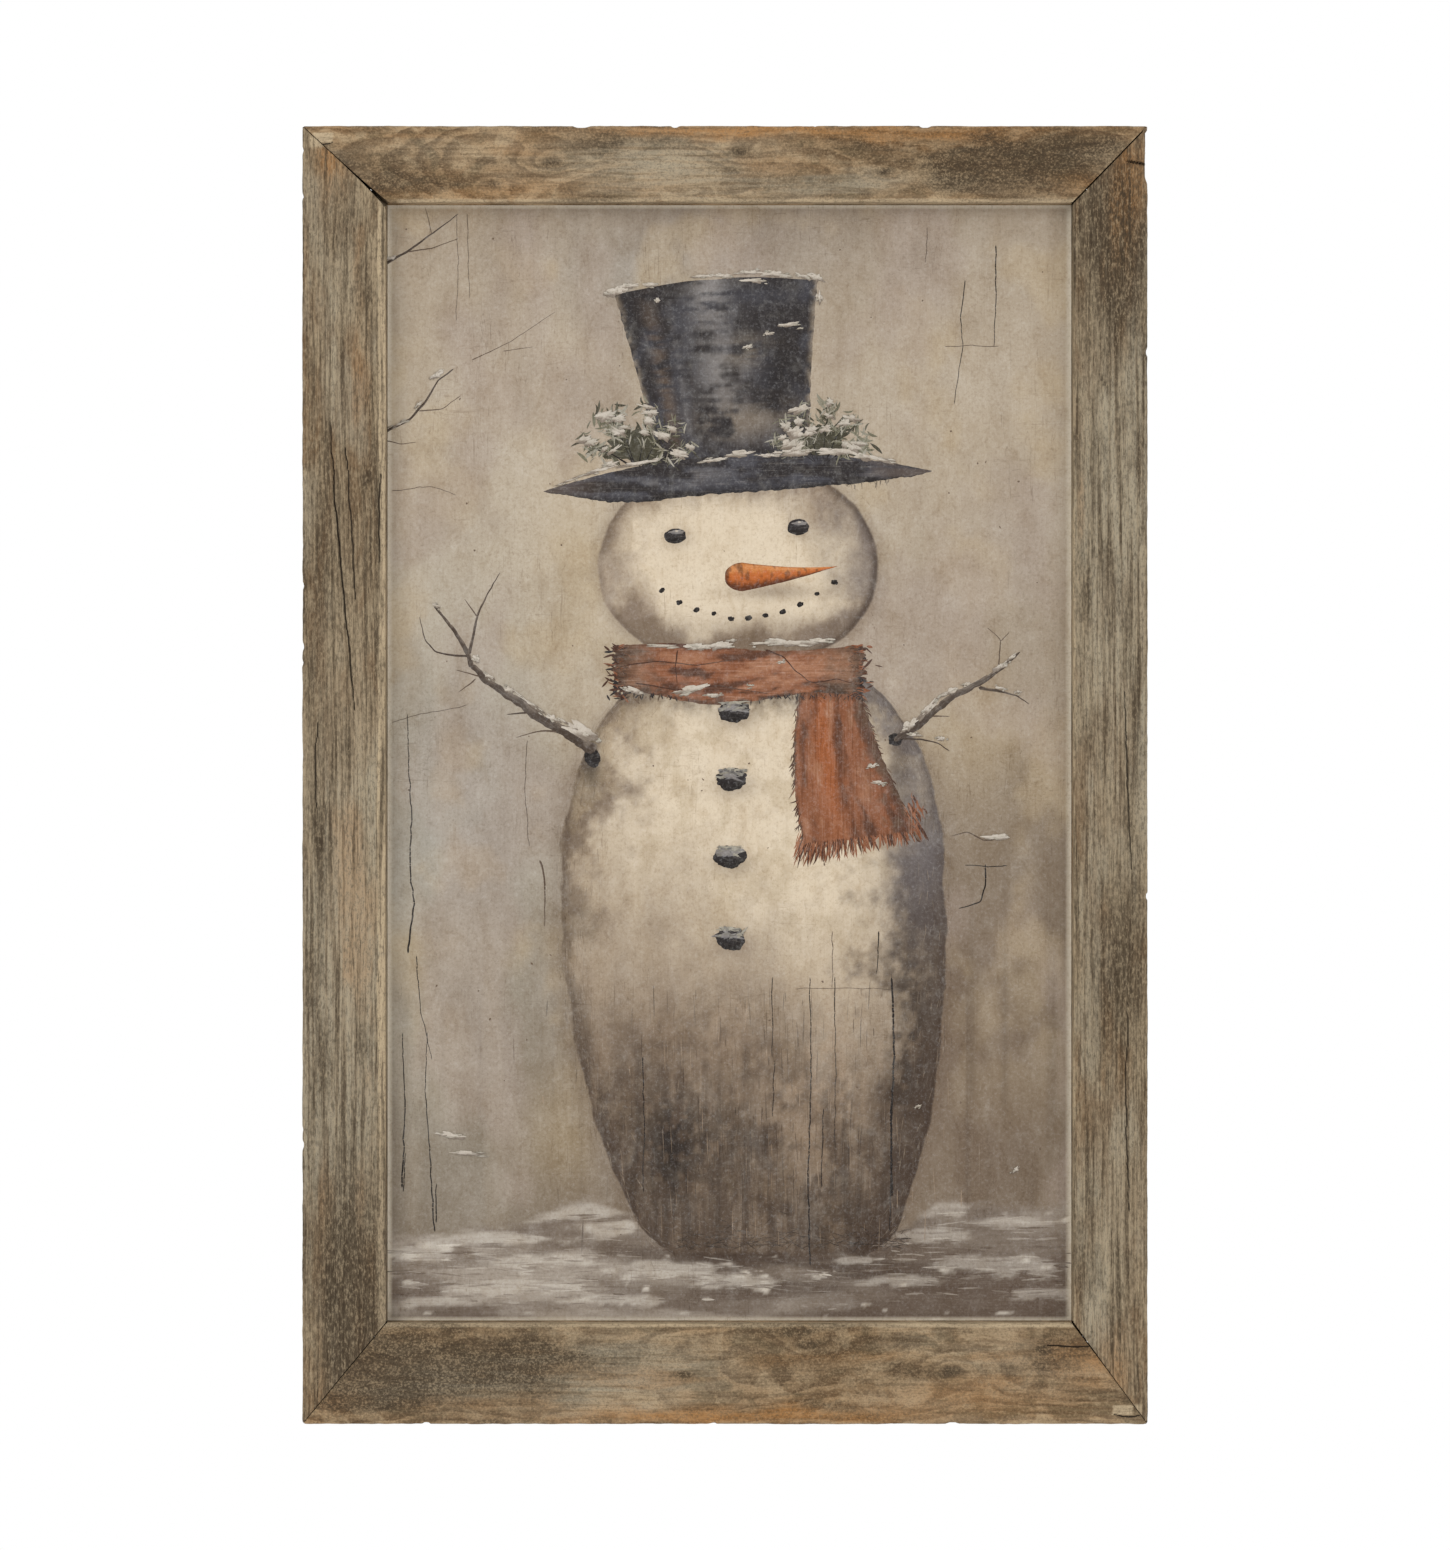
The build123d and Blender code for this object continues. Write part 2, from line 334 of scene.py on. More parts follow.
def oil_paint():
    """Matt paint on canvas. Fields give its colour, which way the brush went and how much it dragged."""
    f = Finish("painted_canvas")
    colour = f.field("paint", "Color")
    level = f.field("paint", "Alpha")
    run = f.field("stroke", "Vector")
    dry = f.add("SeparateXYZ", {0: run}, 2)
    place = f.place()
    upright = f.grain(f.stretch(run, (0.060, 1.3, 0.0)), 1.0, 4.0, 0.65, 0.35)
    sideways = f.grain(f.stretch(run, (1.3, 0.060, 0.0)), 1.0, 4.0, 0.65, 0.35)
    bristle = f.add("Mix", {0: level, 2: upright, 3: sideways}, 0)
    smear = f.grain(f.stretch(run, (0.040, 0.075, 0.0)), 1.0, 6.0, 0.68, 1.0)
    mottle = f.grain(place, 0.12, 6.0, 0.68, 0.4)
    plaster = f.grain(place, 0.75, 5.0, 0.76, 0.5)
    speck = f.grain(place, 1.5, 3.0, 0.65)
    rub = f.grain(place, 0.55, 5.0, 0.72, 0.5)
    thread = f.maths(
        "MAXIMUM",
        f.grain(f.stretch(place, (1.9, 1.0, 0.25)), 1.0, 2.0),
        f.grain(f.stretch(place, (0.25, 1.0, 1.9)), 1.0, 2.0),
    )
    drag = f.maths("MULTIPLY_ADD", dry, 0.72, 0.03)
    dark = f.times(f.ease(bristle, 0.50, 0.32), drag)
    pale = f.times(f.ease(bristle, 0.54, 0.74), drag)
    rubbed = f.times(f.ease(rub, 0.54, 0.66), f.times(drag, 0.45))
    shade = f.layers(
        colour,
        (dark, BRISTLE_SHADE, "MULTIPLY"),
        (pale, BRISTLE_CHALK, "SCREEN"),
        (rubbed, RUBBED_CHALK, "SCREEN"),
        (f.ease(smear, 0.36, 0.50, 0.34, 0.0), SMOKE, "MULTIPLY"),
        (f.ease(smear, 0.52, 0.66, 0.0, 0.30), CHALK, "SCREEN"),
        (f.ease(mottle, 0.54, 0.70, 0.0, 0.40), CHALK, "SCREEN"),
        (f.ease(mottle, 0.46, 0.30, 0.0, 0.40), SMOKE, "MULTIPLY"),
        (f.ease(plaster, 0.36, 0.50, 0.48, 0.0), PLASTER_SHADE, "MULTIPLY"),
        (f.ease(plaster, 0.52, 0.66, 0.0, 0.40), PLASTER_CHALK, "SCREEN"),
        (f.ease(speck, 0.25, 0.36, 0.35, 0.0), SPECK_BROWN, "MULTIPLY"),
    )
    for stretch, amount in SCRATCHES:
        cloud = f.grain(f.stretch(place, stretch), 1.0, 3.0, 0.5, 0.2)
        thin = f.maths("ABSOLUTE", f.maths("SUBTRACT", cloud, 0.5))
        here = f.ease(f.grain(place, 0.022, 3.0), 0.50, 0.58)
        scratch = f.times(f.ease(thin, 0.0, 0.006, amount, 0.0), here)
        shade = f.blend(scratch, shade, SCRATCH_BROWN, "MULTIPLY")
    height = f.plus(
        f.times(bristle, 0.5), f.times(thread, 0.4), f.times(plaster, 0.5), f.times(rub, 0.3)
    )
    normal = f.bump(height, 0.15, 0.8)
    rough = f.ease(mottle, 0.3, 0.7, 0.84, 0.66)
    return f.surface(shade, rough, normal, IOR=1.4, Specular_IOR_Level=0.2)


# ---------------------------------------------------------------- rails

RAIL_WIDTH = {
    "left": SIGHT_LEFT - LEFT, "right": RIGHT - SIGHT_RIGHT,
    "top": TOP - SIGHT_TOP, "bottom": SIGHT_BOTTOM - BOTTOM,
}
# How far apart the points lie across the face and along a rail, and the most that one rail may have.
FACE_SPACING, STATION_SPACING, MOST_POINTS = 0.5, 0.9, 90000
MITRE_GROOVE_DEPTH = 7.0
KNOT_STRETCH = 2.3
ROUND_CORNER, CRISP_CORNER = 2.4, 1.6
# The right rail is a little narrower from this far below its top, where a sliver has split off.
SLIVER_START, SLIVER_FULL, SLIVER_DEPTH = 27.0, 23.0, 1.1

# Each rail: growth-ring spacing, where the pith lies (across, behind the face), how much the rings
# wander, knots (along, across, size, rings), the mitre's opening at the outer and inner corner of its
# start and end, and how short its streaks are.
WOOD = {
    "left": dict(
        spacing=1.9, pith=(-75.0, 20.0), wander=1.0, knots=[(427, 28.5, 2.6, 1.6), (262, 9, 4.0, 0.9)],
        gaps=((0.25, 0.35), (0.25, 2.30)), streak=1.0,
    ),
    "right": dict(
        spacing=1.8, pith=(118.0, 24.0), wander=1.2, knots=[(470, 20, 4.5, 1.0), (60, 12, 3.5, 0.8)],
        gaps=((0.20, 0.80), (0.45, 0.60)), streak=1.0,
    ),
    "top": dict(
        spacing=2.4, pith=(21.0, 26.0), wander=4.2,
        knots=[(112, 17, 7.0, 3.2), (86, 26, 4.5, 2.0), (196, 12, 5.0, 2.2), (262, 21, 6.5, 2.6),
               (318, 12, 7.5, 3.0)],
        gaps=((0.20, 1.60), (0.35, 0.50)), streak=2.4,
    ),
    "bottom": dict(
        spacing=2.6, pith=(27.0, 30.0), wander=4.6,
        knots=[(118, 30, 6.0, 2.4), (172, 22, 5.0, 2.0), (292, 24, 8.0, 3.4), (334, 34, 5.0, 2.2),
               (228, 36, 5.5, 2.2)],
        gaps=((0.20, 0.30), (0.20, 0.70)), streak=2.4,
    ),
}

# Marks on each rail's face, as (along, across, half length, half width, amount). Across is counted
# from the outer edge, and along from the left or from the bottom.
MARKS = {
    "left": dict(
        dirt=[(70, 22, 56, 17, 1.0), (30, 24, 40, 16, 0.9), (428, 28.5, 5, 2.6, 1.0), (330, 8, 90, 5, 0.45),
              (548, 14, 20, 12, 0.45), (470, 31, 60, 4, 0.35), (180, 6, 70, 4, 0.4), (400, 14, 40, 14, 0.5)],
        stain=[(566, 12, 14, 5, 0.9), (20, 8, 20, 4, 0.4), (250, 20, 90, 9, 0.10)],
        silver=[(220, 20, 110, 22, 1.0), (520, 20, 40, 10, 0.5), (150, 20, 60, 14, 0.9)],
    ),
    "right": dict(
        dirt=[(546, 18, 40, 20, 1.0), (512, 12, 30, 14, 0.8), (222, 12, 36, 12, 0.6), (300, 6, 80, 4, 0.4),
              (390, 29, 60, 4, 0.4), (186, 16, 40, 14, 0.5)],
        stain=[(560, 8, 20, 8, 1.0), (535, 14, 22, 6, 0.6), (20, 16, 18, 6, 0.6)],
        silver=[(380, 16, 110, 20, 1.0), (430, 16, 50, 16, 0.6), (90, 18, 60, 14, 0.6)],
    ),
    "top": dict(
        dirt=[(36, 20, 34, 10, 0.5), (330, 16, 30, 14, 1.0), (364, 18, 20, 12, 0.3), (262, 12, 22, 8, 0.5),
              (150, 8, 24, 4, 0.6), (218, 24, 28, 6, 0.45), (360, 8, 14, 6, 0.7), (306, 20, 26, 12, 0.6)],
        stain=[(200, 3, 75, 3.4, 1.0), (90, 28, 60, 6, 0.35), (290, 4, 40, 4, 0.6), (350, 26, 20, 5, 0.5)],
        silver=[(158, 19, 48, 16, 0.9), (60, 12, 40, 8, 0.3), (240, 26, 40, 5, 0.6)],
    ),
    "bottom": dict(
        dirt=[(54, 26, 46, 20, 1.0), (26, 24, 30, 20, 0.9), (100, 28, 26, 16, 0.8), (150, 32, 34, 8, 0.45),
              (240, 38, 50, 5, 0.4), (236, 24, 40, 16, 0.5), (330, 24, 26, 10, 0.35)],
        stain=[(200, 4, 78, 4.5, 1.0), (300, 14, 40, 6, 0.45), (352, 30, 22, 9, 0.8), (16, 10, 14, 5, 0.6)],
        silver=[(138, 24, 52, 18, 0.9), (60, 16, 40, 8, 0.55), (330, 28, 40, 12, 0.6)],
    ),
}

# The pale strip along each rail's inner edge, as its width and how solid it is.
RUBBED_STRIP = {"left": (4.0, 1.0), "right": (1.2, 0.7), "top": (2.0, 0.75), "bottom": (2.2, 0.9)}

# Fresh chips at two corners, as (along, across, half length, half width).
CHIPS = {
    "left": [(578, 7.5, 2.4, 4.5)], "right": [(7.0, 7.0, 2.2, 4.0)],
    "top": [(9.5, 5.5, 4.6, 2.2)], "bottom": [(370.5, 6.6, 4.8, 2.2)],
}

# Open cracks, as points (along, across) with the half width and the depth at the widest place.
CRACKS = {
    "left": [([(322, 23.5), (352, 21.0), (388, 17.5), (420, 14.5), (452, 12.5)], 0.26, 1.2),
             ([(372, 24.0), (410, 22.0), (440, 19.5)], 0.16, 0.7),
             ([(428, 35.2), (404, 34.6), (388, 35.0)], 0.22, 0.9),
             ([(278, 6.5), (300, 6.0), (316, 7.0)], 0.16, 0.6)],
    "right": [([(96, 8.5), (150, 10.0), (190, 9.0)], 0.16, 0.6),
              ([(250, 7.5), (300, 9.5), (330, 10.5)], 0.16, 0.6),
              ([(567.5, 0.0), (568.5, 6.0), (569, 9.5)], 0.40, 1.6)],
    "top": [([(3, 7.6), (9, 8.4), (14, 7.4)], 0.16, 0.6)],
    "bottom": [([(366, 4.4), (372, 3.4), (377, 3.8)], 0.20, 0.8),
               ([(336, 35.4), (348, 34.6), (354, 34.8)], 0.28, 0.9)],
}


def rail_profile(width):
    """A closed section as (across, depth) points with the inward direction at each one."""
    inner = width - RABBET_WIDTH
    front, step_in, back = (width, 0), (width, LIP_DEPTH), (inner, RAIL_DEPTH)
    turns = [(0, 0), front, step_in, (inner, LIP_DEPTH), back, (0, RAIL_DEPTH)]
    counts = [int(width / FACE_SPACING), 14, 5, 5, 16, 24]
    inward = [(0, 1), (-1, 0), (0, -1), (-1, 0), (0, -1), (1, 0)]
    points, normals = [], []
    for n, count in enumerate(counts):
        start, end = np.array(turns[n], float), np.array(turns[(n + 1) % len(turns)], float)
        t = np.linspace(0, 1, count, endpoint=False)[:, None]
        points.append(start + (end - start) * t)
        normals.append(np.repeat([inward[n]], count, axis=0))
    return np.concatenate(points), np.concatenate(normals).astype(float)


def rounded(a, b, radius):
    """Points measured a and b from a corner's two faces, pulled onto an arc of the radius."""
    near = (a < radius) & (b < radius)
    reach = np.where(near, np.hypot(radius - a, radius - b), 1.0)
    pull = np.where(near & (reach > radius), radius / np.maximum(reach, 1e-6), 1.0)
    return radius - (radius - a) * pull, radius - (radius - b) * pull


def line_distance(x, y, points):
    """The distance to a line through the points, and how far along it, from 0 to 1, that is."""
    best, share = np.full(np.shape(x), 1e9), np.zeros(np.shape(x))
    count = len(points) - 1
    for n in range(count):
        (x0, y0), (x1, y1) = points[n], points[n + 1]
        dx, dy = x1 - x0, y1 - y0
        t = np.clip(((x - x0) * dx + (y - y0) * dy) / (dx * dx + dy * dy), 0, 1)
        gap = np.hypot(x - x0 - t * dx, y - y0 - t * dy)
        share = np.where(gap < best, (n + t) / count, share)
        best = np.minimum(best, gap)
    return best, share


def growth_rings(side, along, across, depth, seed):
    """How many growth rings lie between the pith and each point: the distance from a wandering pith
    over the rings' spacing, with noise of two sizes and a bell around each knot."""
    wood = WOOD[side]
    pith_across, pith_depth = wood["pith"]
    pith_across = pith_across + 16 * (clouds(along / 160, 0.0, seed=seed + 1, octaves=2) - 0.5)
    drift = clouds(along / 90, 3.3, seed=seed + 2, octaves=2) - 0.5
    pith_depth = pith_depth + 5 * wood["wander"] * drift
    rings = np.hypot(across - pith_across, depth + pith_depth) / wood["spacing"]
    rings += wood["wander"] * (clouds(along / 70, across / 30, depth / 30, seed + 3, 2) - 0.5)
    rings += 0.5 * (clouds(along / 14, across / 5, depth / 5, seed + 4, 2) - 0.5)
    for place, at, size, count in wood["knots"]:
        off = np.hypot((along - place) / (KNOT_STRETCH * size), (across - at) / size)
        rings += count * np.exp(-off**1.3)
    return rings


def rail_weather(side, along, across, depth, width, seed):
    """Silvering, honey stain, dirt and worn raw wood at each point: a bell for each mark, moved about
    by noise, patches of noise between them, the rubbed strip, the rubbed arris and the fresh chips."""
    shift_along = 18 * (clouds(along / 20, across / 7, depth / 7, seed + 11, 3) - 0.5)
    shift_across = 9 * (clouds(along / 20, across / 7, depth / 7, seed + 12, 3) - 0.5)
    moved_along, moved_across = along + shift_along, across + shift_across
    field = {}
    for kind in ("silver", "stain", "dirt"):
        total = np.zeros(along.shape)
        for place, at, half_length, half_width, amount in MARKS[side][kind]:
            total += amount * hill(moved_along, moved_across, place, at, half_length, half_width)
        field[kind] = total
    patches = clouds(along / 46, across / 13, depth / 13, seed + 13, 4)
    field["silver"] += step(patches, 0.50, 0.72) * (0.6 if side in ("left", "right") else 0.25)
    field["dirt"] += step(clouds(along / 34, across / 9, depth / 9, seed + 14, 4), 0.56, 0.76) * 0.5
    field["stain"] += step(clouds(along / 52, across / 10, depth / 10, seed + 15, 3), 0.62, 0.80) * 0.30
    for place, at, size, _ in WOOD[side]["knots"]:
        field["dirt"] += 0.9 * hill(along, across, place, at, KNOT_STRETCH * size * 0.30, size * 0.34)
    front = step(depth, 2.5, 0.2)
    strip, fade = RUBBED_STRIP[side]
    edge_noise = clouds(along / 9, 0.7, seed=seed + 16, octaves=3)
    reach = strip * (0.75 + 0.5 * edge_noise)
    bare = step(edge_noise, 0.62 - 0.6 * fade, 0.52 - 0.2 * fade)
    worn = step(width - across, reach + 0.4, reach - 0.4) * bare
    arris = step(np.minimum(across, 3.0) + depth, 1.6, 0.4)
    rubbed = arris * step(clouds(along / 12, 5.1, seed=seed + 17), 0.5, 0.7)
    field["worn"] = worn * fade * step(depth, LIP_DEPTH, 2.0) + 0.35 * rubbed * front
    for place, at, half_length, half_width in CHIPS[side]:
        from_end = np.abs(along - place + 0.6 * shift_across)
        from_side = np.abs(across - at + 0.06 * shift_along)
        chip = step(from_end, half_length + 0.3, half_length - 0.3)
        field["worn"] += chip * step(from_side, half_width + 0.3, half_width - 0.3)
        for kind in ("silver", "stain", "dirt"):
            field[kind] = field[kind] * (1 - 0.9 * chip * (np.abs(across - at) < half_width))
    return field


def make_rail(side, seed, material):
    """The section carried from mitre to mitre, sheared to meet its neighbours, then roughened:
    the rings stand in low relief, the arrises are worn to uneven arcs and the cracks are grooves."""
    upright = side in ("left", "right")
    width = RAIL_WIDTH[side]
    neighbours = [RAIL_WIDTH[end] for end in (("bottom", "top") if upright else ("left", "right"))]
    length = TOP - BOTTOM if upright else RIGHT - LEFT
    section, inward = rail_profile(width)
    stations = int(min(length / STATION_SPACING, MOST_POINTS / len(section)))
    across = np.repeat(section[None, :, 0], stations, axis=0)
    depth = np.repeat(section[None, :, 1], stations, axis=0)
    t = np.linspace(0, 1, stations)[:, None]

    groove = np.clip(1 - depth / MITRE_GROOVE_DEPTH, 0, 1)
    ends = []
    for (outer_gap, inner_gap), neighbour in zip(WOOD[side]["gaps"], neighbours):
        opening = outer_gap + (inner_gap - outer_gap) * (across / width) ** 4
        ends.append(across * neighbour / width + opening * groove)
    along = ends[0] + t * (length - ends[0] - ends[1])

    rings = growth_rings(side, along, across, depth, seed)
    phase = rings - np.floor(rings)
    late = step(phase, 0.30, 0.90) * step(phase, 1.0, 0.93)
    weather = rail_weather(side, along, across, depth, width, seed)
    crack = np.zeros(along.shape)
    sunk = np.zeros(along.shape)
    wobble = 1.2 * (clouds(along / 6, 0.0, seed=seed + 31) - 0.5)
    for points, half_width, deepest in CRACKS[side]:
        gap, share = line_distance(along, across + wobble, points)
        reach = half_width * np.sin(np.pi * np.clip(share, 0.03, 0.97)) ** 0.5
        near = step(gap, reach + 0.35, reach * 0.4) * step(depth, 3.0, 1.0)
        crack = np.maximum(crack, near)
        sunk = np.maximum(sunk, near * deepest)

    ragged = clouds(along / 7, 1.5, seed=seed + 21, octaves=4)
    chips = step(clouds(along / 7, 4.5, seed=seed + 22, octaves=2), 0.74, 0.88)
    relief = 0.16 * (1 - late) + 0.55 * (clouds(along / 40, across / 12, depth / 12, seed + 23, 2) - 0.5)
    relief += 0.22 * (clouds(along / 3, across / 0.9, depth / 0.9, seed + 24, 2) - 0.5) + 0.3
    relief += sunk
    seen = step(depth, RAIL_DEPTH, LIP_DEPTH) * 0.85 + 0.15
    across = across + inward[None, :, 0] * relief * seen * (depth < LIP_DEPTH + 0.01)
    depth = depth + inward[None, :, 1] * relief * seen * (depth < 1)
    across, depth = rounded(across, depth, 0.7 + 0.9 * ragged + 1.5 * chips)
    inner, depth = rounded(width - across, depth, 0.6 + 0.7 * ragged + 0.6 * chips)
    across = width - inner
    across = across + (0.28 * (ragged - 0.35) + 0.5 * chips) * step(across, 2.5, 0.0)
    if side == "right":
        split = step(along, length - SLIVER_START, length - SLIVER_FULL)
        across = across + SLIVER_DEPTH * split * step(across, 3.0, 0.0)
    corner = ROUND_CORNER if side in ("left", "bottom") else CRISP_CORNER
    for distance in (along, length - along):
        bite = np.clip(corner - distance, 0, corner)
        across = np.maximum(across, corner - np.sqrt(np.maximum(corner**2 - bite**2, 0)))

    straight = {
        "left": LEFT + across, "right": RIGHT - across, "top": TOP - across, "bottom": BOTTOM + across,
    }[side]
    run = (BOTTOM if upright else LEFT) + along
    x, z = (straight, run) if upright else (run, straight)
    points = np.stack([x, FRONT + depth, z], axis=-1).reshape(-1, 3)
    rows, columns = along.shape
    faces = [tuple(face) for face in grid_faces(rows, columns, wrap=True)]
    faces += [tuple(range(columns)), tuple(range(rows * columns - 1, (rows - 1) * columns - 1, -1))]
    if side in ("left", "top"):
        faces = [face[::-1] for face in faces]

    grain = np.stack([across, depth, (along + seed * 37.0) * WOOD[side]["streak"]], axis=-1).reshape(-1, 3)
    channels = np.clip([weather[k] for k in ("silver", "stain", "dirt", "worn")], 0, 1)
    fields = dict(
        grain=grain, ring=rings.ravel(), crack=crack.ravel(),
        weather=np.moveaxis(channels, 0, -1).reshape(-1, 4),
    )
    name, nodes = f"old_wood_rail_{side}", [f"rail_{side}"]
    return make_piece(name, points, faces, material, nodes, fields)


straight_wood = weathered_wood("straight_weathered_wood", STRAIGHT, 1.0)
blotchy_wood = weathered_wood("blotchy_weathered_wood", BLOTCHY, 0.45)
for number, side in enumerate(("left", "right", "top", "bottom")):
    make_rail(side, 40 + 60 * number, straight_wood if number < 2 else blotchy_wood)


# ---------------------------------------------------------------- the picture
# Places in the picture are (across, up) from the lower left corner of the sight opening.

PICTURE_WIDTH, PICTURE_HEIGHT = SIGHT_RIGHT - SIGHT_LEFT, SIGHT_TOP - SIGHT_BOTTOM
CANVAS_MARGIN = SIGHT_LEFT - canvas_low[0]
CANVAS_BACK = canvas_high[1]
# How far a painted shape's rim is tucked under the ground, so that no edge hangs free.
SUNK = 0.06
# The bare canvas that shows at the picture's rim, and the cut edge and back of it.
BARE_CANVAS, CANVAS_CUT = (0.60, 0.53, 0.42), (0.62, 0.58, 0.50, 0.0)

GREIGE, GLOW, DUSK = (0.330, 0.268, 0.197), (0.436, 0.364, 0.274), (0.146, 0.107, 0.073)
COOL_GREY, MAUVE, TEA = (0.300, 0.278, 0.226), (0.312, 0.250, 0.204), (0.395, 0.308, 0.196)
CREAM, SHELL, FUR = (0.590, 0.495, 0.368), (0.350, 0.278, 0.200), (0.138, 0.096, 0.066)
PEAT, SOOT, BLUE_SHADE = (0.052, 0.034, 0.024), (0.016, 0.013, 0.012), (0.138, 0.122, 0.122)
SNOW, PALE_SLUSH = (0.480, 0.430, 0.365), (0.300, 0.255, 0.208)
SLUSH, MUD = (0.200, 0.162, 0.128), (0.104, 0.073, 0.053)
CHARCOAL, SLATE, PEWTER = (0.028, 0.024, 0.024), (0.054, 0.053, 0.062), (0.215, 0.198, 0.188)
RUST, BRICK, APRICOT = (0.222, 0.086, 0.042), (0.066, 0.030, 0.019), (0.360, 0.180, 0.104)
CARROT, CARROT_LIGHT, CARROT_DARK = (0.430, 0.118, 0.026), (0.540, 0.225, 0.072), (0.055, 0.018, 0.008)
BARK, BARK_LIGHT = (0.045, 0.034, 0.028), (0.170, 0.136, 0.108)
OLIVE, SAGE, FROST = (0.052, 0.047, 0.030), (0.165, 0.156, 0.104), (0.330, 0.305, 0.250)
TAN, OCHRE, OLD_BLUE = (0.315, 0.232, 0.160), (0.400, 0.300, 0.165), (0.268, 0.264, 0.250)

# The head and the body, then the hat's crown and brim, the carrot, the smile, the buttons, the eyes,
# and the scarf's band and tail.
HEAD_X, HEAD_Z, HEAD_HALF_WIDTH, HEAD_HALF_HEIGHT = 158.5, 341.0, 63.5, 47.0
HEAD_SQUARENESS = 2.1
BODY_TOP, BODY_MIDDLE, BODY_FOOT = 307.0, 190.0, 30.0
BODY_HALF_WIDTH = 87.0
CROWN_LEFT, CROWN_RIGHT, CROWN_FOOT, CROWN_TOP = 121, 191, 388, 464
BRIM_LEFT, BRIM_WIDTH, BRIM_HEIGHT, BRIM_RISE, BRIM_SAG = 70.5, 176, 375, 9, 5.8
ROOT_X, ROOT_Z, ROOT_LENGTH, ROOT_HALF_WIDTH, ROOT_BLUNT = 152, 336, 52.5, 6.8, 0.16
SMILE_X, SMILE_Z, SMILE_HALF_WIDTH, SMILE_DEPTH, SMILE_STONES = 163, 317.5, 39, 14.5, 11
BUTTONS = [(156.5, 275.0), (155.5, 244.5), (154.5, 209.5), (155.0, 172.5)]
EYES = [(130.0, 354.5), (185.5, 358.5)]
SCARF_LEFT, SCARF_RIGHT = 101.5, 216.0
TAIL_LEFT, TAIL_RIGHT, TAIL_TOP, TAIL_FOOT = 186, 214, 288, 214


def paint_relief(x, z):
    """The thickness of the ground's paint: a slow swell with soft upright ridges of the brush."""
    ridges = noise(x / 4.5, z / 40, seed=301)
    swell = clouds(x / 16, z / 24, seed=302, octaves=2)
    inside = np.minimum(np.minimum(x, PICTURE_WIDTH - x), np.minimum(z, PICTURE_HEIGHT - z))
    return (0.07 * ridges + 0.12 * swell) * step(inside, -0.5, 4.0)


def on_canvas(x, z, lift=0.0):
    """Points in the frame's own place for places in the picture, raised off the painted ground."""
    y = CANVAS_FACE - paint_relief(x, z) - lift
    return np.stack(np.broadcast_arrays(SIGHT_LEFT + x, y, SIGHT_BOTTOM + z), axis=-1)


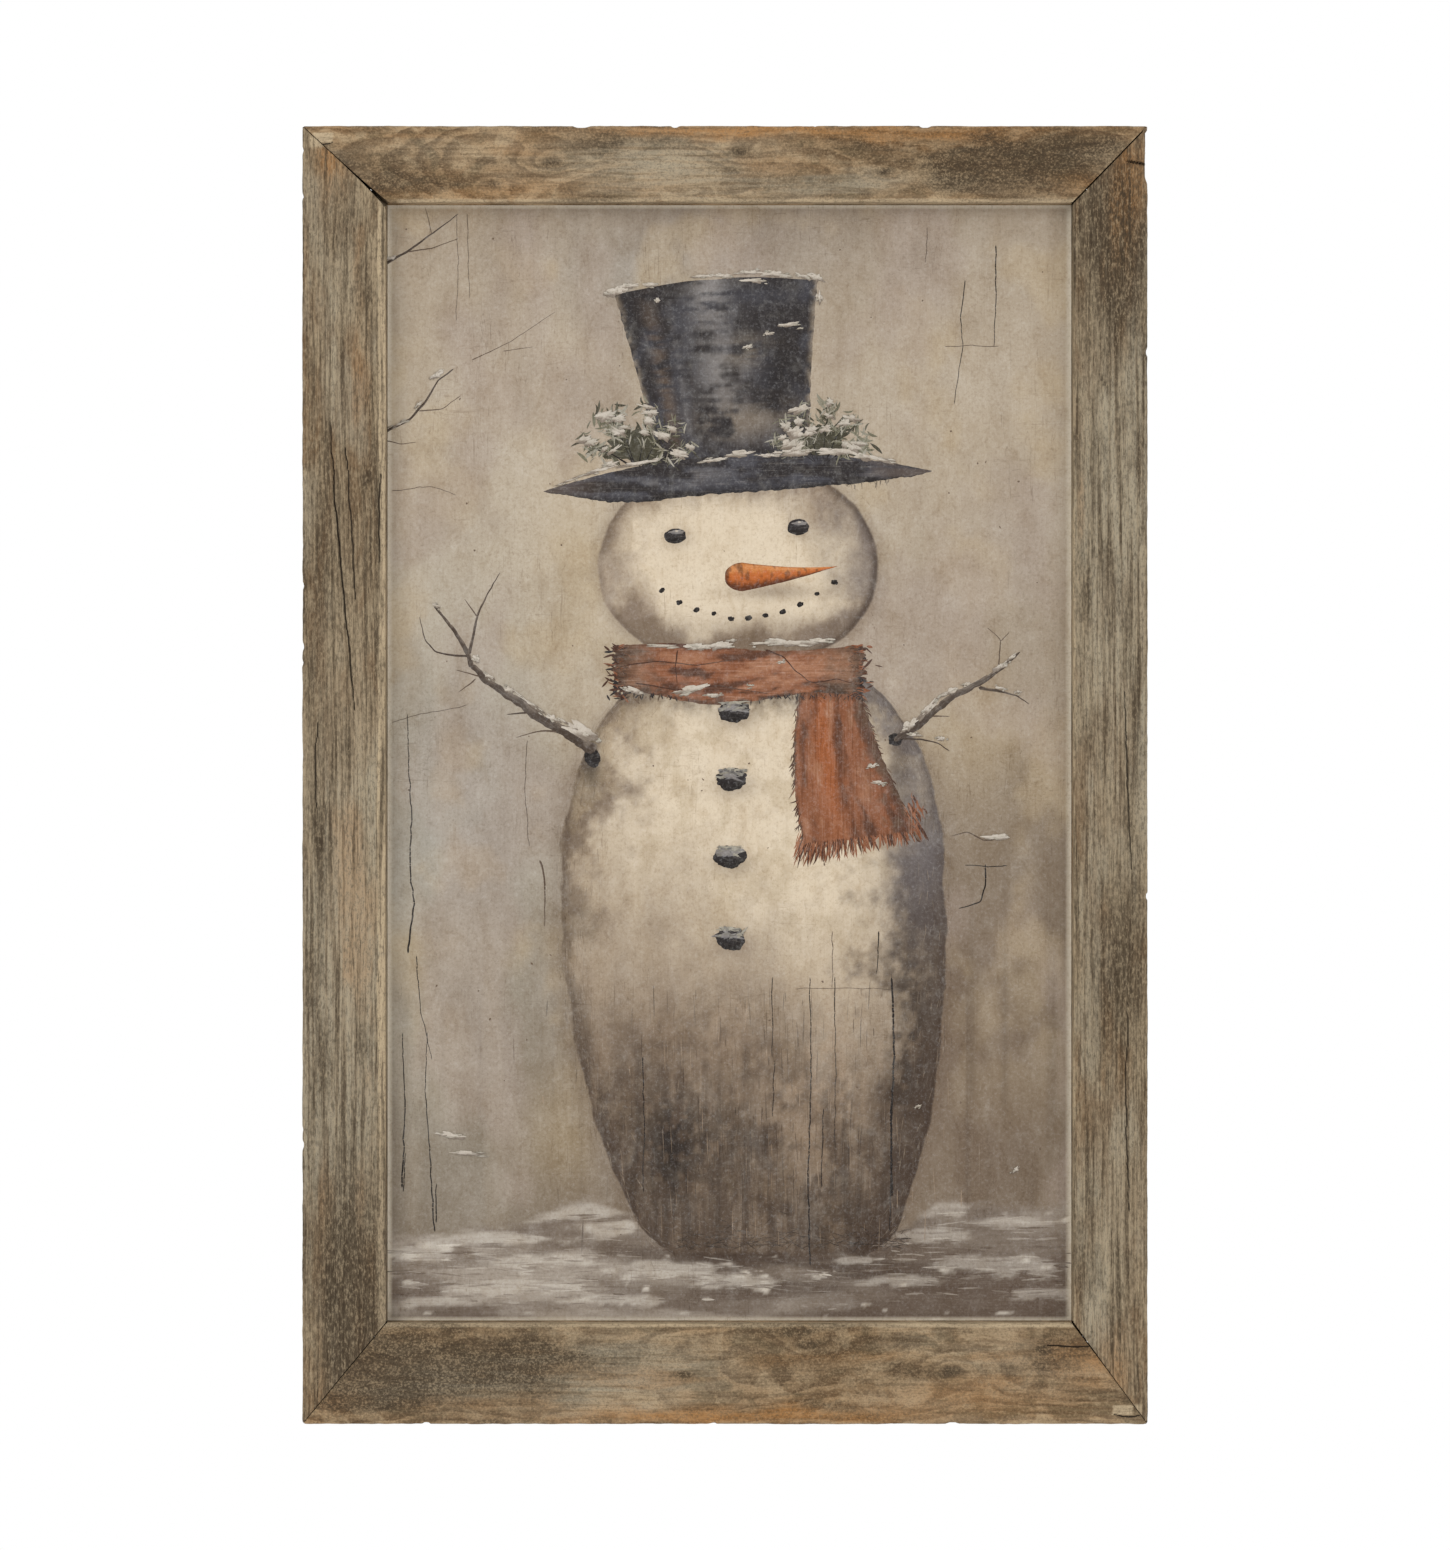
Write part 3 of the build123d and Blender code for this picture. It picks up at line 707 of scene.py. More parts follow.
class Paint:
    """Painted shapes, each a grid of points on the canvas, gathered into one piece."""

    def __init__(self):
        self.points, self.faces, self.colours, self.strokes, self.count = [], [], [], [], 0

    def grid(self, x, z, lift, colour, along=None, across=None, sideways=0.0, dry=0.4):
        """One grid of (rows, columns), or many of one size as (shapes, rows, columns). Sideways is
        the share of level brushing, and dry how much the brush drags."""
        along, across = (z if along is None else along), (x if across is None else across)
        fields = np.broadcast_arrays(x, z, lift, along, across, sideways, dry)
        x, z, lift, along, across, sideways, dry = fields
        rows, columns = x.shape[-2:]
        px, pz = x.reshape(-1, rows, columns)[0], z.reshape(-1, rows, columns)[0]
        # The area of the first grid's cells is negative where the grid runs the other way round, and
        # its faces are then turned over, so that all of them look at the room.
        turn = np.diff(px, axis=1)[:-1] * np.diff(pz, axis=0)[:, :-1]
        turn = turn - np.diff(pz, axis=1)[:-1] * np.diff(px, axis=0)[:, :-1]
        faces = grid_faces(rows, columns)
        if turn.sum() < 0:
            faces = faces[:, ::-1]
        starts = self.count + np.arange(x.size // (rows * columns)) * rows * columns
        colour = np.broadcast_to(colour, x.shape + (3,)).reshape(-1, 3)
        self.faces.append((faces[None] + starts[:, None, None]).reshape(-1, 4))
        self.points.append(on_canvas(x, z, lift).reshape(-1, 3))
        self.colours.append(np.concatenate([colour, sideways.reshape(-1, 1)], axis=1))
        self.strokes.append(np.stack([along, across, dry], axis=-1).reshape(-1, 3))
        self.count += x.size

    def touches(self, places, colour, under=None, high=0.16, ragged=0.3, seed=0, dry=0.5, layer=0, fine=9):
        """Rounded touches of paint at (across, up, half length, half width, turn in degrees): discs
        with a rim that wanders by the ragged share, sqrt(1 - r^2) high, with the colour under along
        their lower side. A higher layer lies over a lower one, and fine is the points each way."""
        places = np.atleast_2d(np.asarray(places, dtype=float))
        x0, z0, half_length, half_width, turn = np.moveaxis(places[:, :, None, None], 1, 0)
        a, b = np.meshgrid(np.linspace(-1, 1, fine), np.linspace(-1, 1, fine))
        a, b = a * np.sqrt(1 - b * b / 2), b * np.sqrt(1 - a * a / 2)
        angle, radius = np.arctan2(b, a), np.minimum(np.hypot(a, b), 1)
        number = 7.3 * np.arange(len(places))[:, None, None]
        rim = clouds(2.6 * np.cos(angle) + number, 2.6 * np.sin(angle), seed=seed, octaves=3)
        wander = 1 + 2 * ragged * (rim - 0.5)
        p, q = a * half_length * wander, b * half_width * wander
        cosine, sine = np.cos(np.radians(turn)), np.sin(np.radians(turn))
        x, z = x0 + p * cosine - q * sine, z0 + p * sine + q * cosine
        lift = high * np.sqrt(1 - radius**2) - SUNK * radius**2 + 0.012 * layer
        colour = np.asarray(colour, dtype=float).reshape(-1, 1, 1, 3)
        if under is not None:
            low = step((z - z0) / np.maximum(half_width, 0.6) + 1.2 * (rim - 0.5), 0.1, -0.75)
            colour = mix(colour, np.asarray(under, dtype=float).reshape(-1, 1, 1, 3), low)
        along, across = p, q + 3.0 * number
        self.grid(x, z, lift, colour, along, across, 0.0, dry)

    def line(self, points, widths, colour, edge=None, high=0.12, rough=0.25, seed=0, dry=0.6):
        """A brushed line through the given points, rounded a little, that tapers from the first
        width to the last. The colour edge lies along its upper side."""
        points = np.asarray(points, dtype=float)
        reach = np.concatenate([[0], np.cumsum(np.hypot(*np.diff(points, axis=0).T))])
        count = int(np.clip(reach[-1] / 0.8, 8, 160))
        t = np.linspace(0, reach[-1], count)
        x, z = np.interp(t, reach, points[:, 0]), np.interp(t, reach, points[:, 1])
        for _ in range(2):
            x[1:-1], z[1:-1] = (x[:-2] + x[1:-1] + x[2:]) / 3, (z[:-2] + z[1:-1] + z[2:]) / 3
        x = x + rough * 2 * (clouds(t / 4, 0.5, seed=seed, octaves=2) - 0.5)
        z = z + rough * 2 * (clouds(t / 4, 7.5, seed=seed, octaves=2) - 0.5)
        dx, dz = np.gradient(x), np.gradient(z)
        length = np.hypot(dx, dz)
        right = np.where(dx >= 0, 1.0, -1.0)
        aside_x, aside_z = -dz / length * right, dx / length * right
        half = np.interp(t, [0, reach[-1]], widths) / 2
        half = half * (0.75 + 0.5 * clouds(t / 2.5, 3.5, seed=seed + 1, octaves=2))
        half = half * np.sqrt(np.clip(np.minimum(t, reach[-1] - t) / 0.8, 0.05, 1))
        v = np.linspace(-1, 1, 5)[None, :]
        x = x[:, None] + aside_x[:, None] * half[:, None] * v
        z = z[:, None] + aside_z[:, None] * half[:, None] * v
        shade = np.broadcast_to(np.asarray(colour, dtype=float), x.shape + (3,))
        if edge is not None:
            broken = 2.4 * (clouds(t / 3, 9.5, seed=seed + 2)[:, None] - 0.5)
            shade = mix(shade, edge, 0.8 * step(v + broken, 0.2, 0.9))
        self.grid(x, z, high * (1 - v**2) - SUNK * v**2, shade, t[:, None], half[:, None] * v, 0.0, dry)

    def bristles(self, x, z, length, width, turn, colour, bend=0.0, high=0.09, dry=0.7, sideways=0.0):
        """Many thin marks of the brush. Each is a lens 1 - t^2 wide, turned clockwise from upright."""
        t, v = np.linspace(-1, 1, 6)[:, None], np.linspace(-1, 1, 3)[None, :]
        columns = [np.broadcast_to(a, np.shape(x))[:, None, None] for a in (x, z, length, width, turn, bend)]
        x, z, length, width, turn, bend = columns
        ahead = t * length / 2
        aside = v * width / 2 * (1 - 0.85 * t**2) + bend * t**2
        cosine, sine = np.cos(np.radians(turn)), np.sin(np.radians(turn))
        px, pz = x + aside * cosine + ahead * sine, z - aside * sine + ahead * cosine
        lift = high * (1 - v**2) * (1 - t**4) - SUNK * np.maximum(v**2, t**4)
        self.grid(px, pz, lift, np.asarray(colour).reshape(-1, 1, 1, 3), pz, px, sideways, dry)

    def piece(self, name, material, nodes=()):
        """All the gathered shapes as one piece."""
        fields = dict(paint=np.clip(np.concatenate(self.colours), 0, 1), stroke=np.concatenate(self.strokes))
        points, faces = np.concatenate(self.points), np.concatenate(self.faces)
        return make_piece(name, points, faces, material, nodes, fields)


def backdrop(x, z):
    """A warm grey winter haze, lighter round the head, duller to the right and towards the foot."""
    haze = layered(
        DUSK,
        (GREIGE, step(z, -60, 300)),
        (GLOW, 0.95 * hill(x, z, 90, 335, 120, 120)),
        (GLOW, 0.55 * hill(x, z, 265, 400, 60, 60)),
        (DUSK, 0.72 * step(x, 205, 320) * step(z, 450, 150)),
        (DUSK, 0.45 * step(z, 190, 40)),
        (FUR, 0.85 * hill(x, z, 250, 124, 44, 84)),
        (BLUE_SHADE, 0.36 * hill(x, z, 152, 492, 80, 30)),
        (FUR, 0.30 * hill(x, z, 76, 130, 36, 90)),
        (COOL_GREY, 0.75 * hill(x, z, 28, 190, 50, 150)),
        (OLD_BLUE, 0.42 * hill(x, z, 34, 236, 34, 60) + 0.34 * hill(x, z, 116, 470, 40, 20)),
        (OCHRE, 0.34 * hill(x, z, 268, 268, 26, 30) + 0.34 * hill(x, z, 78, 84, 18, 24)),
        (OCHRE, 0.26 * hill(x, z, 84, 336, 16, 60) + 0.24 * hill(x, z, 26, 168, 26, 20)),
        (TEA, 0.55 * step(clouds(x / 30, z / 34, seed=311, octaves=4), 0.50, 0.70) * step(z, 60, 180)),
        (MAUVE, 0.55 * step(clouds(x / 40, z / 60, seed=316, octaves=3), 0.50, 0.70)),
    )
    wash = clouds(x / 12, z / 70, seed=312, octaves=4)
    haze = mix(haze, DUSK, 0.12 * step(wash, 0.50, 0.72) * (0.5 + 0.5 * step(z, 300, 80)))
    haze = mix(haze, GLOW, 0.12 * step(wash, 0.48, 0.26))
    cloud = clouds(x / 24, z / 30, seed=313, octaves=5)
    haze = mix(haze, DUSK, 0.16 * step(cloud, 0.52, 0.76))
    haze = mix(haze, SNOW, 0.12 * step(cloud, 0.46, 0.25))
    top = step(z, PICTURE_HEIGHT - 30, PICTURE_HEIGHT + 6) * clouds(x / 5, z / 60, seed=314)
    haze = mix(haze, DUSK, 0.62 * top * (0.5 + 0.5 * hill(x, 0, 120, 0, 90, 1)))
    drips = step(clouds(x / 2.2, z / 130, seed=315, octaves=2), 0.64, 0.80) * step(z, 240, 120)
    return mix(haze, PEAT, 0.25 * drips * (0.3 + 0.7 * step(x, 60, 200)))


def snowfield_edge(x):
    """The height of the snow's far edge, a low uneven bank that rises at both sides of the body."""
    bank = 15 * hill(x, 0, 88, 0, 30, 1) + 14 * step(x, 222, 250)
    return 38 + bank + 7 * (clouds(x / 18, 0.5, seed=320) - 0.5)


# Brighter drifts, as (across, up, half length, half height).
DRIFTS = [
    (84, 50, 26, 4.5), (40, 37, 34, 3.5), (106, 42, 14, 4.0), (14, 30, 18, 3.0), (70, 27, 24, 3.0),
    (126, 23, 26, 4.0), (158, 17, 18, 3.0), (52, 15, 34, 3.5), (24, 8, 20, 2.5), (104, 9, 22, 2.5),
    (250, 51, 14, 4.0), (246, 38, 18, 4.0), (282, 44, 18, 3.0), (276, 25, 26, 4.5), (232, 18, 18, 2.5),
    (296, 12, 16, 2.5), (214, 27, 12, 2.0),
]


def snowfield(x, z):
    """Trodden snow: soft patches of slush and mud with brighter drifts, dark under the figure."""
    sweep = clouds(x / 44, z / 7.0, seed=321, octaves=5)
    bare = clouds(x / 40, z / 12, seed=322, octaves=4)
    rough = clouds(x / 9, z / 3.2, seed=323, octaves=4)
    ground = layered(
        SLUSH,
        (PALE_SLUSH, step(sweep, 0.36, 0.60)),
        (MUD, 0.60 * step(bare, 0.50, 0.66)),
        (MUD, 0.76 * step(x, 140, 230) * step(z, 70, 20)),
    )
    shadow = hill(x, z, 196, 26, 66, 15) + 0.7 * hill(x, z, 142, 32, 34, 7)
    ground = mix(ground, PEAT, np.clip(0.85 * shadow * step(sweep, 0.85, 0.36), 0, 1))
    for drift_x, drift_z, half_length, half_height in DRIFTS:
        height = hill(x, z + 2.0 * (rough - 0.5), drift_x, drift_z, half_length, half_height)
        amount = 0.62 if drift_x < 170 else 0.44
        ground = mix(ground, SNOW, amount * step(height + 1.1 * (rough - 0.5), 0.26, 0.56))
    return mix(ground, MUD, 0.30 * step(clouds(x / 14, z / 1.6, seed=324, octaves=3), 0.58, 0.74))


def body_middle(z):
    """The body's middle line, which leans a little to the right towards its foot."""
    return 165 + 8 * np.clip((BODY_MIDDLE - z) / 157, 0, 1) ** 1.3


def body_half_width(z):
    """An egg, W sqrt(1 - up^2.6 - down^2), where up and down are 0 at the widest place. Up is 1 at
    the top, and down is 1 at 200 below the widest place. The foot turns in a little."""
    up = np.clip((z - BODY_MIDDLE) / (BODY_TOP - BODY_MIDDLE), 0, 1) ** 2.6
    down = np.clip((BODY_MIDDLE - z) / 200, 0, 1) ** 2.0
    turned_in = 0.10 * np.clip((44 - z) / 14, 0, 1) ** 2
    return BODY_HALF_WIDTH * np.sqrt(np.clip(1 - up - down - turned_in, 0, 1))


def body_colour(x, z, aside):
    """Cream in the middle, smoky brown up the left side, blue-grey down the right, dark at the foot."""
    broad = clouds(x / 17, z / 20, seed=330, octaves=5) - 0.5
    fine = clouds(x / 3.6, z / 4.6, seed=331, octaves=4) - 0.5
    core = np.abs(aside + 0.06 - 0.04 * step(z, 160, 260)) + 0.50 * broad + 0.24 * fine
    colour = mix(CREAM, SHELL, 0.9 * step(core, 0.42, 0.90))
    left = step(-aside + 0.75 * broad + 0.30 * fine, 0.66, 1.0)
    colour = mix(colour, FUR, 0.80 * left)
    right = step(aside + 0.5 * broad + 0.25 * fine, 0.62, 0.98)
    colour = mix(colour, BLUE_SHADE, 0.85 * right)
    colour = mix(colour, TEA, 0.40 * step(clouds(x / 9, z / 12, seed=336), 0.54, 0.70))
    drop = z + 26 * (clouds(x / 7.0, z / 50, seed=332, octaves=4) - 0.5) + 44 * broad + 16 * fine
    drop += 10 - 26 * hill(aside, 0, -0.5, 0, 0.5, 1) + 10 * hill(aside, 0, 0.45, 0, 0.4, 1)
    colour = layered(
        colour,
        (SHELL, 0.92 * step(drop, 222, 150)),
        (FUR, 0.84 * step(drop, 176, 104)),
        (PEAT, 0.72 * step(drop, 132, 66)),
        (SHELL, 0.16 * step(clouds(x / 5, z / 4, seed=333, octaves=4), 0.54, 0.70) * step(z, 34, 70)),
    )
    runs = clouds(x / 3.0, z / 30, seed=338, octaves=3) + 0.45 * fine + 0.35 * broad
    low = step(z, 186, 110) * step(z, 24, 40)
    colour = layered(
        colour,
        (TAN, 0.20 * low * step(runs, 0.50, 0.66)),
        (SOOT, 0.24 * low * step(runs, 0.47, 0.30) * step(z, 150, 70)),
        (TAN, 0.60 * hill(x, z, 196, 100, 34, 46) * step(broad + 0.6 * fine, -0.16, 0.14)),
        (TAN, 0.30 * hill(x, z, 150, 120, 30, 22) * step(fine, -0.1, 0.2)),
        (SOOT, 0.80 * hill(x, z, 128, 80, 20, 30) * step(fine - 0.4 * broad, -0.16, 0.10)),
        (SOOT, 0.40 * hill(x, z, 158, 84, 16, 30) * step(fine, -0.12, 0.14)),
        (SOOT, 0.45 * hill(x, z, 206, 50, 24, 16) * step(fine, -0.15, 0.12)),
        (PEAT, 0.86 * step(aside + 0.6 * broad + 0.3 * fine, 0.50, 0.88) * step(z, 276, 180)),
        (SOOT, 0.50 * hill(aside, z, 0.82, 128, 0.10, 50) * step(fine + broad, -0.2, 0.1)),
    )
    rim = np.abs(aside) + 0.04 * fine
    colour = mix(colour, PEAT, 0.62 * step(rim + 0.35 * broad, 0.84, 1.0) * step(z, 300, 120))
    return mix(colour, PEAT, (0.36 + 0.10 * aside) * hill(rim, 0, 0.985, 0, 0.020, 1))


def head_radius(x, z):
    """1 on the head's outline, which is |x / a|^p + |z / b|^p = 1 with p a little over 2."""
    across, up = np.abs(x - HEAD_X) / HEAD_HALF_WIDTH, np.abs(z - HEAD_Z) / HEAD_HALF_HEIGHT
    return (across**HEAD_SQUARENESS + up**HEAD_SQUARENESS) ** (1 / HEAD_SQUARENESS)


def head_colour(x, z, around, fine, broad):
    """Cream, with a smoky rim that is darkest at the right and under the hat."""
    aside = (x - HEAD_X) / HEAD_HALF_WIDTH
    light = around + 0.45 * broad + 0.14 * fine + 0.03 * aside + 0.10 * step(z, 330, 300)
    colour = layered(
        CREAM,
        (SHELL, step(light, 0.55, 0.90)),
        (FUR, 0.80 * step(light + 0.12 * step(z, 335, 306), 0.80, 1.05)),
        (BLUE_SHADE, 0.50 * step(aside + 0.4 * broad, 0.50, 0.90)),
        (PEAT, (0.45 + 0.25 * aside) * hill(around, 0, 0.98, 0, 0.03, 1)),
        (FUR, 0.80 * hill(x, z, 150, 378, 66, 8) * (0.8 + 1.2 * fine)),
        (MAUVE, 0.25 * step(clouds(x / 16, z / 14, seed=337), 0.50, 0.66) * step(around, 0.45, 0.85)),
        (FUR, 0.40 * hill(x, z, 172, 312, 42, 7)),
        (FUR, 0.55 * hill(x, z, 174, 329.5, 20, 4.0)),
    )
    for eye_x, eye_z in EYES:
        colour = mix(colour, FUR, 0.45 * hill(x, z, eye_x + 0.8, eye_z - 1.0, 6.5, 4.6))
    return colour


def painting(x, z):
    """The colour of every broad shape, with the shares of level and of dry brushing."""
    colour = backdrop(x, z)
    edge = snowfield_edge(x) + 6 * (clouds(x / 9, z / 2, seed=340, octaves=3) - 0.5)
    snow = step(z, edge + 3.0, edge - 3.0)
    colour = mix(colour, snowfield(x, z), snow)

    fine = clouds(x / 2.6, z / 3.6, seed=341, octaves=4) - 0.5
    broad = clouds(x / 14, z / 18, seed=342, octaves=4) - 0.5
    aside = (x - body_middle(z)) / np.maximum(body_half_width(z), 1)
    rim = np.abs(aside) + 0.016 * fine + 0.036 * broad
    foot = BODY_FOOT + 5 * (clouds(x / 5, 0.3, seed=334, octaves=3) - 0.5)
    body = body_colour(x, z, aside)
    for button_x, button_z in BUTTONS:
        body = mix(body, FUR, 0.55 * hill(x, z, button_x + 1.2, button_z - 3.0, 9.5, 5.5))
    body = layered(
        body,
        (PEAT, 0.80 * hill(x, z, 158, 281, 60, 6.5) * (0.8 + 1.5 * fine)),
        (PEAT, 0.62 * hill(x, z, 231, 247, 6, 26) * step(x, 214, 230)),
        (BLUE_SHADE, 0.70 * hill(x, z, 240, 215, 14, 38)),
        (SOOT, 0.70 * hill(x, z, 92, 252, 4.5, 13)),
    )
    halo = 0.40 * step(rim, 1.13, 0.97) * step(z, 24, 60) * step(z, 300, 260)
    colour = mix(colour, FUR, halo * (0.5 + clouds(x / 4, z / 14, seed=335)))
    inside = step(rim, 1.004, 0.990) * step(z, foot - 1.0, foot + 1.5) * step(z, BODY_TOP, BODY_TOP - 6)
    colour = mix(colour, body, inside)

    around = head_radius(x, z)
    colour = mix(colour, FUR, 0.30 * step(around + 0.06 * fine, 1.10, 0.98))
    head = head_colour(x, z, around, fine, broad)
    on_head = step(around + 0.012 * fine + 0.034 * broad, 1.006, 0.986)
    colour = mix(colour, head, on_head)
    dry = 0.12 + 0.12 * inside * step(z, 150, 80)
    dry = np.clip(dry * (1 - on_head) + 0.08 * on_head + 0.10 * snow * (1 - inside), 0, 1)
    return colour, snow * (1 - inside), dry


def canvas_edge(rows, columns):
    """The places along a grid's rim, in order round it."""
    at = np.arange(rows * columns).reshape(rows, columns)
    return np.concatenate([at[0, :-1], at[:-1, -1], at[-1, :0:-1], at[:0:-1, 0]])


def paint_ground(material):
    """The canvas, painted with the broad shapes on a grid that is finer behind the figure, with its
    cut edges and its back."""
    across_stops = [-CANVAS_MARGIN, 66, 262, PICTURE_WIDTH + CANVAS_MARGIN]
    x = np.interp(np.linspace(0, 1, 244), [0, 0.16, 0.91, 1], across_stops)
    z = np.linspace(PICTURE_HEIGHT + CANVAS_MARGIN, -CANVAS_MARGIN, 402)
    x, z = np.meshgrid(x, z)
    colour, sideways, dry = painting(x, z)
    border = np.minimum(np.minimum(x, PICTURE_WIDTH - x), np.minimum(z, PICTURE_HEIGHT - z))
    # Painted light: the paint is up to a fifth lighter near the sight edge, against the lip's shade.
    colour = colour * (1 + 0.20 * np.exp(-np.clip(border, 0, None) / 6.0))[..., None]
    colour = mix(colour, BARE_CANVAS, step(border, 1.0, 0.6))
    canvas = Paint()
    canvas.grid(x, z, 0.0, colour, sideways=sideways, dry=dry)
    rim = canvas_edge(*x.shape)
    back = canvas.points[0][rim] * (1, 0, 1) + (0, CANVAS_BACK, 0)
    start = canvas.count
    after = np.roll(np.arange(len(rim)), -1)
    walls = np.stack([rim, rim[after], start + after, start + np.arange(len(rim))], axis=1)
    canvas.points.append(back)
    canvas.colours.append(np.tile(CANVAS_CUT, (len(rim), 1)))
    canvas.strokes.append(canvas.strokes[0][rim])
    faces = [*canvas.faces[0], *walls, start + np.arange(len(rim))[::-1]]
    fields = dict(paint=np.concatenate(canvas.colours), stroke=np.concatenate(canvas.strokes))
    points = np.concatenate(canvas.points)
    return make_piece("picture_ground", points, faces, material, ["canvas_print"], fields)


# The finer grids over the figure: how far past the outlines they reach, as a share of the half widths,
# and between which heights.
BODY_REACH, BODY_CROWD, BODY_INSIDE = 1.12, 1.05, 0.93
HEAD_REACH = 1.1
FIGURE_LOW, FIGURE_HIGH = 21, 303


def raised(edge, high, fade):
    """How far a finer grid stands off the ground: tucked under it at its own rim, and high inside."""
    return high * step(edge, 0.0, fade) - 0.02


def paint_figure(material):
    """The same painting once more over the body and the head, on finer grids that crowd together at
    their outlines, with the rims tucked under the ground."""
    figure = Paint()
    stops = [-BODY_REACH, -BODY_CROWD, -BODY_INSIDE, BODY_INSIDE, BODY_CROWD, BODY_REACH]
    counts = [5, 34, 122, 34, 5]
    runs = [np.linspace(*ends, count)[:-1] for *ends, count in zip(stops, stops[1:], counts)]
    side = np.concatenate([*runs, [BODY_REACH]])
    z = np.linspace(FIGURE_LOW, FIGURE_HIGH, 440)[:, None]
    x = body_middle(z) + np.maximum(body_half_width(z), 40) * side[None, :]
    x, z = np.broadcast_arrays(x, z)
    ends = np.minimum((z - FIGURE_LOW) / 40, (FIGURE_HIGH - z) / 40)
    edge = np.minimum(BODY_REACH - np.abs(side)[None, :], ends)
    colour, sideways, dry = painting(x, z)
    figure.grid(x, z, raised(edge, 0.045, 0.03), colour, sideways=sideways, dry=dry)
    body = figure.piece("picture_body", material)

    figure = Paint()
    a, b = np.meshgrid(np.linspace(-1, 1, 250), np.linspace(-1, 1, 250))
    a, b = HEAD_REACH * a * np.sqrt(1 - b * b / 2), HEAD_REACH * b * np.sqrt(1 - a * a / 2)
    x, z = HEAD_X + HEAD_HALF_WIDTH * a, HEAD_Z + HEAD_HALF_HEIGHT * b
    edge = HEAD_REACH - np.hypot(a, b)
    colour, sideways, dry = painting(x, z)
    figure.grid(x, z, raised(edge, 0.095, 0.02), colour, sideways=sideways, dry=dry)
    return body, figure.piece("picture_head", material)


def paint_hat(material):
    """A tall crown whose sides lean out upwards, on a lens-shaped brim that climbs to the right."""
    hat = Paint()
    u, v = np.meshgrid(np.linspace(0, 1, 90), np.linspace(0, 1, 92))
    ragged = 1.3 * (clouds(5 * u + 0.5, 26 * v, seed=401, octaves=3) - 0.5)
    left, right = CROWN_LEFT - 19.5 * v**1.25, CROWN_RIGHT + 4 * v**2
    x = left + (right - left) * u + ragged
    base, top = CROWN_FOOT - 6 * np.sin(np.pi * u), CROWN_TOP + 6.5 * u + 4.0 * np.sin(np.pi * u)
    z = base + (top - base) * v + ragged * v
    smoke = clouds(x / 9, z / 13, seed=402, octaves=4)
    drag = clouds(x / 15, z / 2.2, seed=403, octaves=4)
    colour = layered(
        CHARCOAL,
        (SLATE, 0.65 * step(smoke, 0.42, 0.66)),
        (PEWTER, 1.0 * hill(u, v, 0.46, 0.92, 0.095, 0.19) * step(drag, 0.26, 0.46)),
        (PEWTER, 0.75 * hill(u, v, 0.47, 0.50, 0.13, 0.26) * step(smoke + 0.5 * drag, 0.55, 0.85)),
        (SHELL, 0.34 * hill(u, v, 0.64, 0.62, 0.12, 0.07) * step(drag, 0.35, 0.6)),
        (SHELL, 0.40 * hill(u, v, 0.62, 0.27, 0.26, 0.09) * step(smoke + 0.4 * drag, 0.55, 0.80)),
        (FUR, 0.60 * hill(u, v, 0.15, 0.45, 0.04, 0.5) * step(drag, 0.35, 0.60)),
        (PEWTER, 0.30 * hill(u, v, 0.25, 0.5, 0.02, 0.4) * step(drag, 0.40, 0.60)),
        (SOOT, 0.70 * hill(u, v, 0.80, 0.48, 0.10, 0.13)),
        (SLATE, 0.70 * hill(u, v, 0.68, 0.90, 0.22, 0.05)),
    )
    sides = np.maximum(step(u, 0.045, 0.0), step(u, 0.955, 1.0))
    rub = sides * step(clouds(x / 2, z / 3, seed=404), 0.3, 0.6)
    colour = mix(colour, SHELL, 0.55 * rub)
    rim = np.minimum(np.minimum(u, 1 - u) * 75, np.minimum(v, 1 - v) * 80)
    lift = 0.12 * step(rim, 0, 2.0) - SUNK * step(rim, 0.9, 0.0)
    hat.grid(x, z, lift, colour, sideways=0.35 + 0.3 * smoke, dry=0.55)

    u, v = np.meshgrid(np.linspace(0, 1, 190), np.linspace(0, 1, 26))
    chord_x, chord_z = BRIM_LEFT + BRIM_WIDTH * u, BRIM_HEIGHT + BRIM_RISE * u
    upper = 12.8 * np.sin(np.pi * u) ** 0.9 + 0.9 * (clouds(u * 40, 0.5, seed=405) - 0.5)
    lower = -BRIM_SAG * np.sin(np.pi * u) ** 0.6 - 1.5 * (clouds(u * 70, 3.5, seed=406, octaves=3) - 0.4)
    lower -= 3.4 * hill(u, 0, 0.22, 0, 0.14, 1)
    x, z = chord_x, chord_z + lower + (upper - lower) * v
    smoke = clouds(x / 16, z / 4, seed=407, octaves=4)
    colour = layered(
        CHARCOAL,
        (SLATE, step(smoke, 0.36, 0.60)),
        (PEWTER, 0.35 * hill(u, v, 0.36, 0.55, 0.16, 0.25) * step(smoke, 0.45, 0.7)),
        (FUR, 0.45 * step(u, 0.70, 0.95) * step(smoke, 0.45, 0.65)),
        (FUR, 0.40 * step(u, 0.20, 0.02)),
        (SOOT, 0.75 * step(v, 0.30, 0.02)),
    )
    rim = np.minimum(v, 1 - v) * np.maximum(upper - lower, 0.2)
    hat.grid(x, z, 0.20 * step(rim, 0, 1.6) - SUNK * step(rim, 0.5, 0.0), colour, sideways=0.9, dry=0.75)
    return hat.piece("picture_hat", material)


def scarf_tail_sides(down):
    """The places of the tail's two edges, where down runs from 0 at the band to 1 at the fringe."""
    return TAIL_LEFT - 3.5 * np.sin(np.pi * down) + down, TAIL_RIGHT + 27 * down**1.35


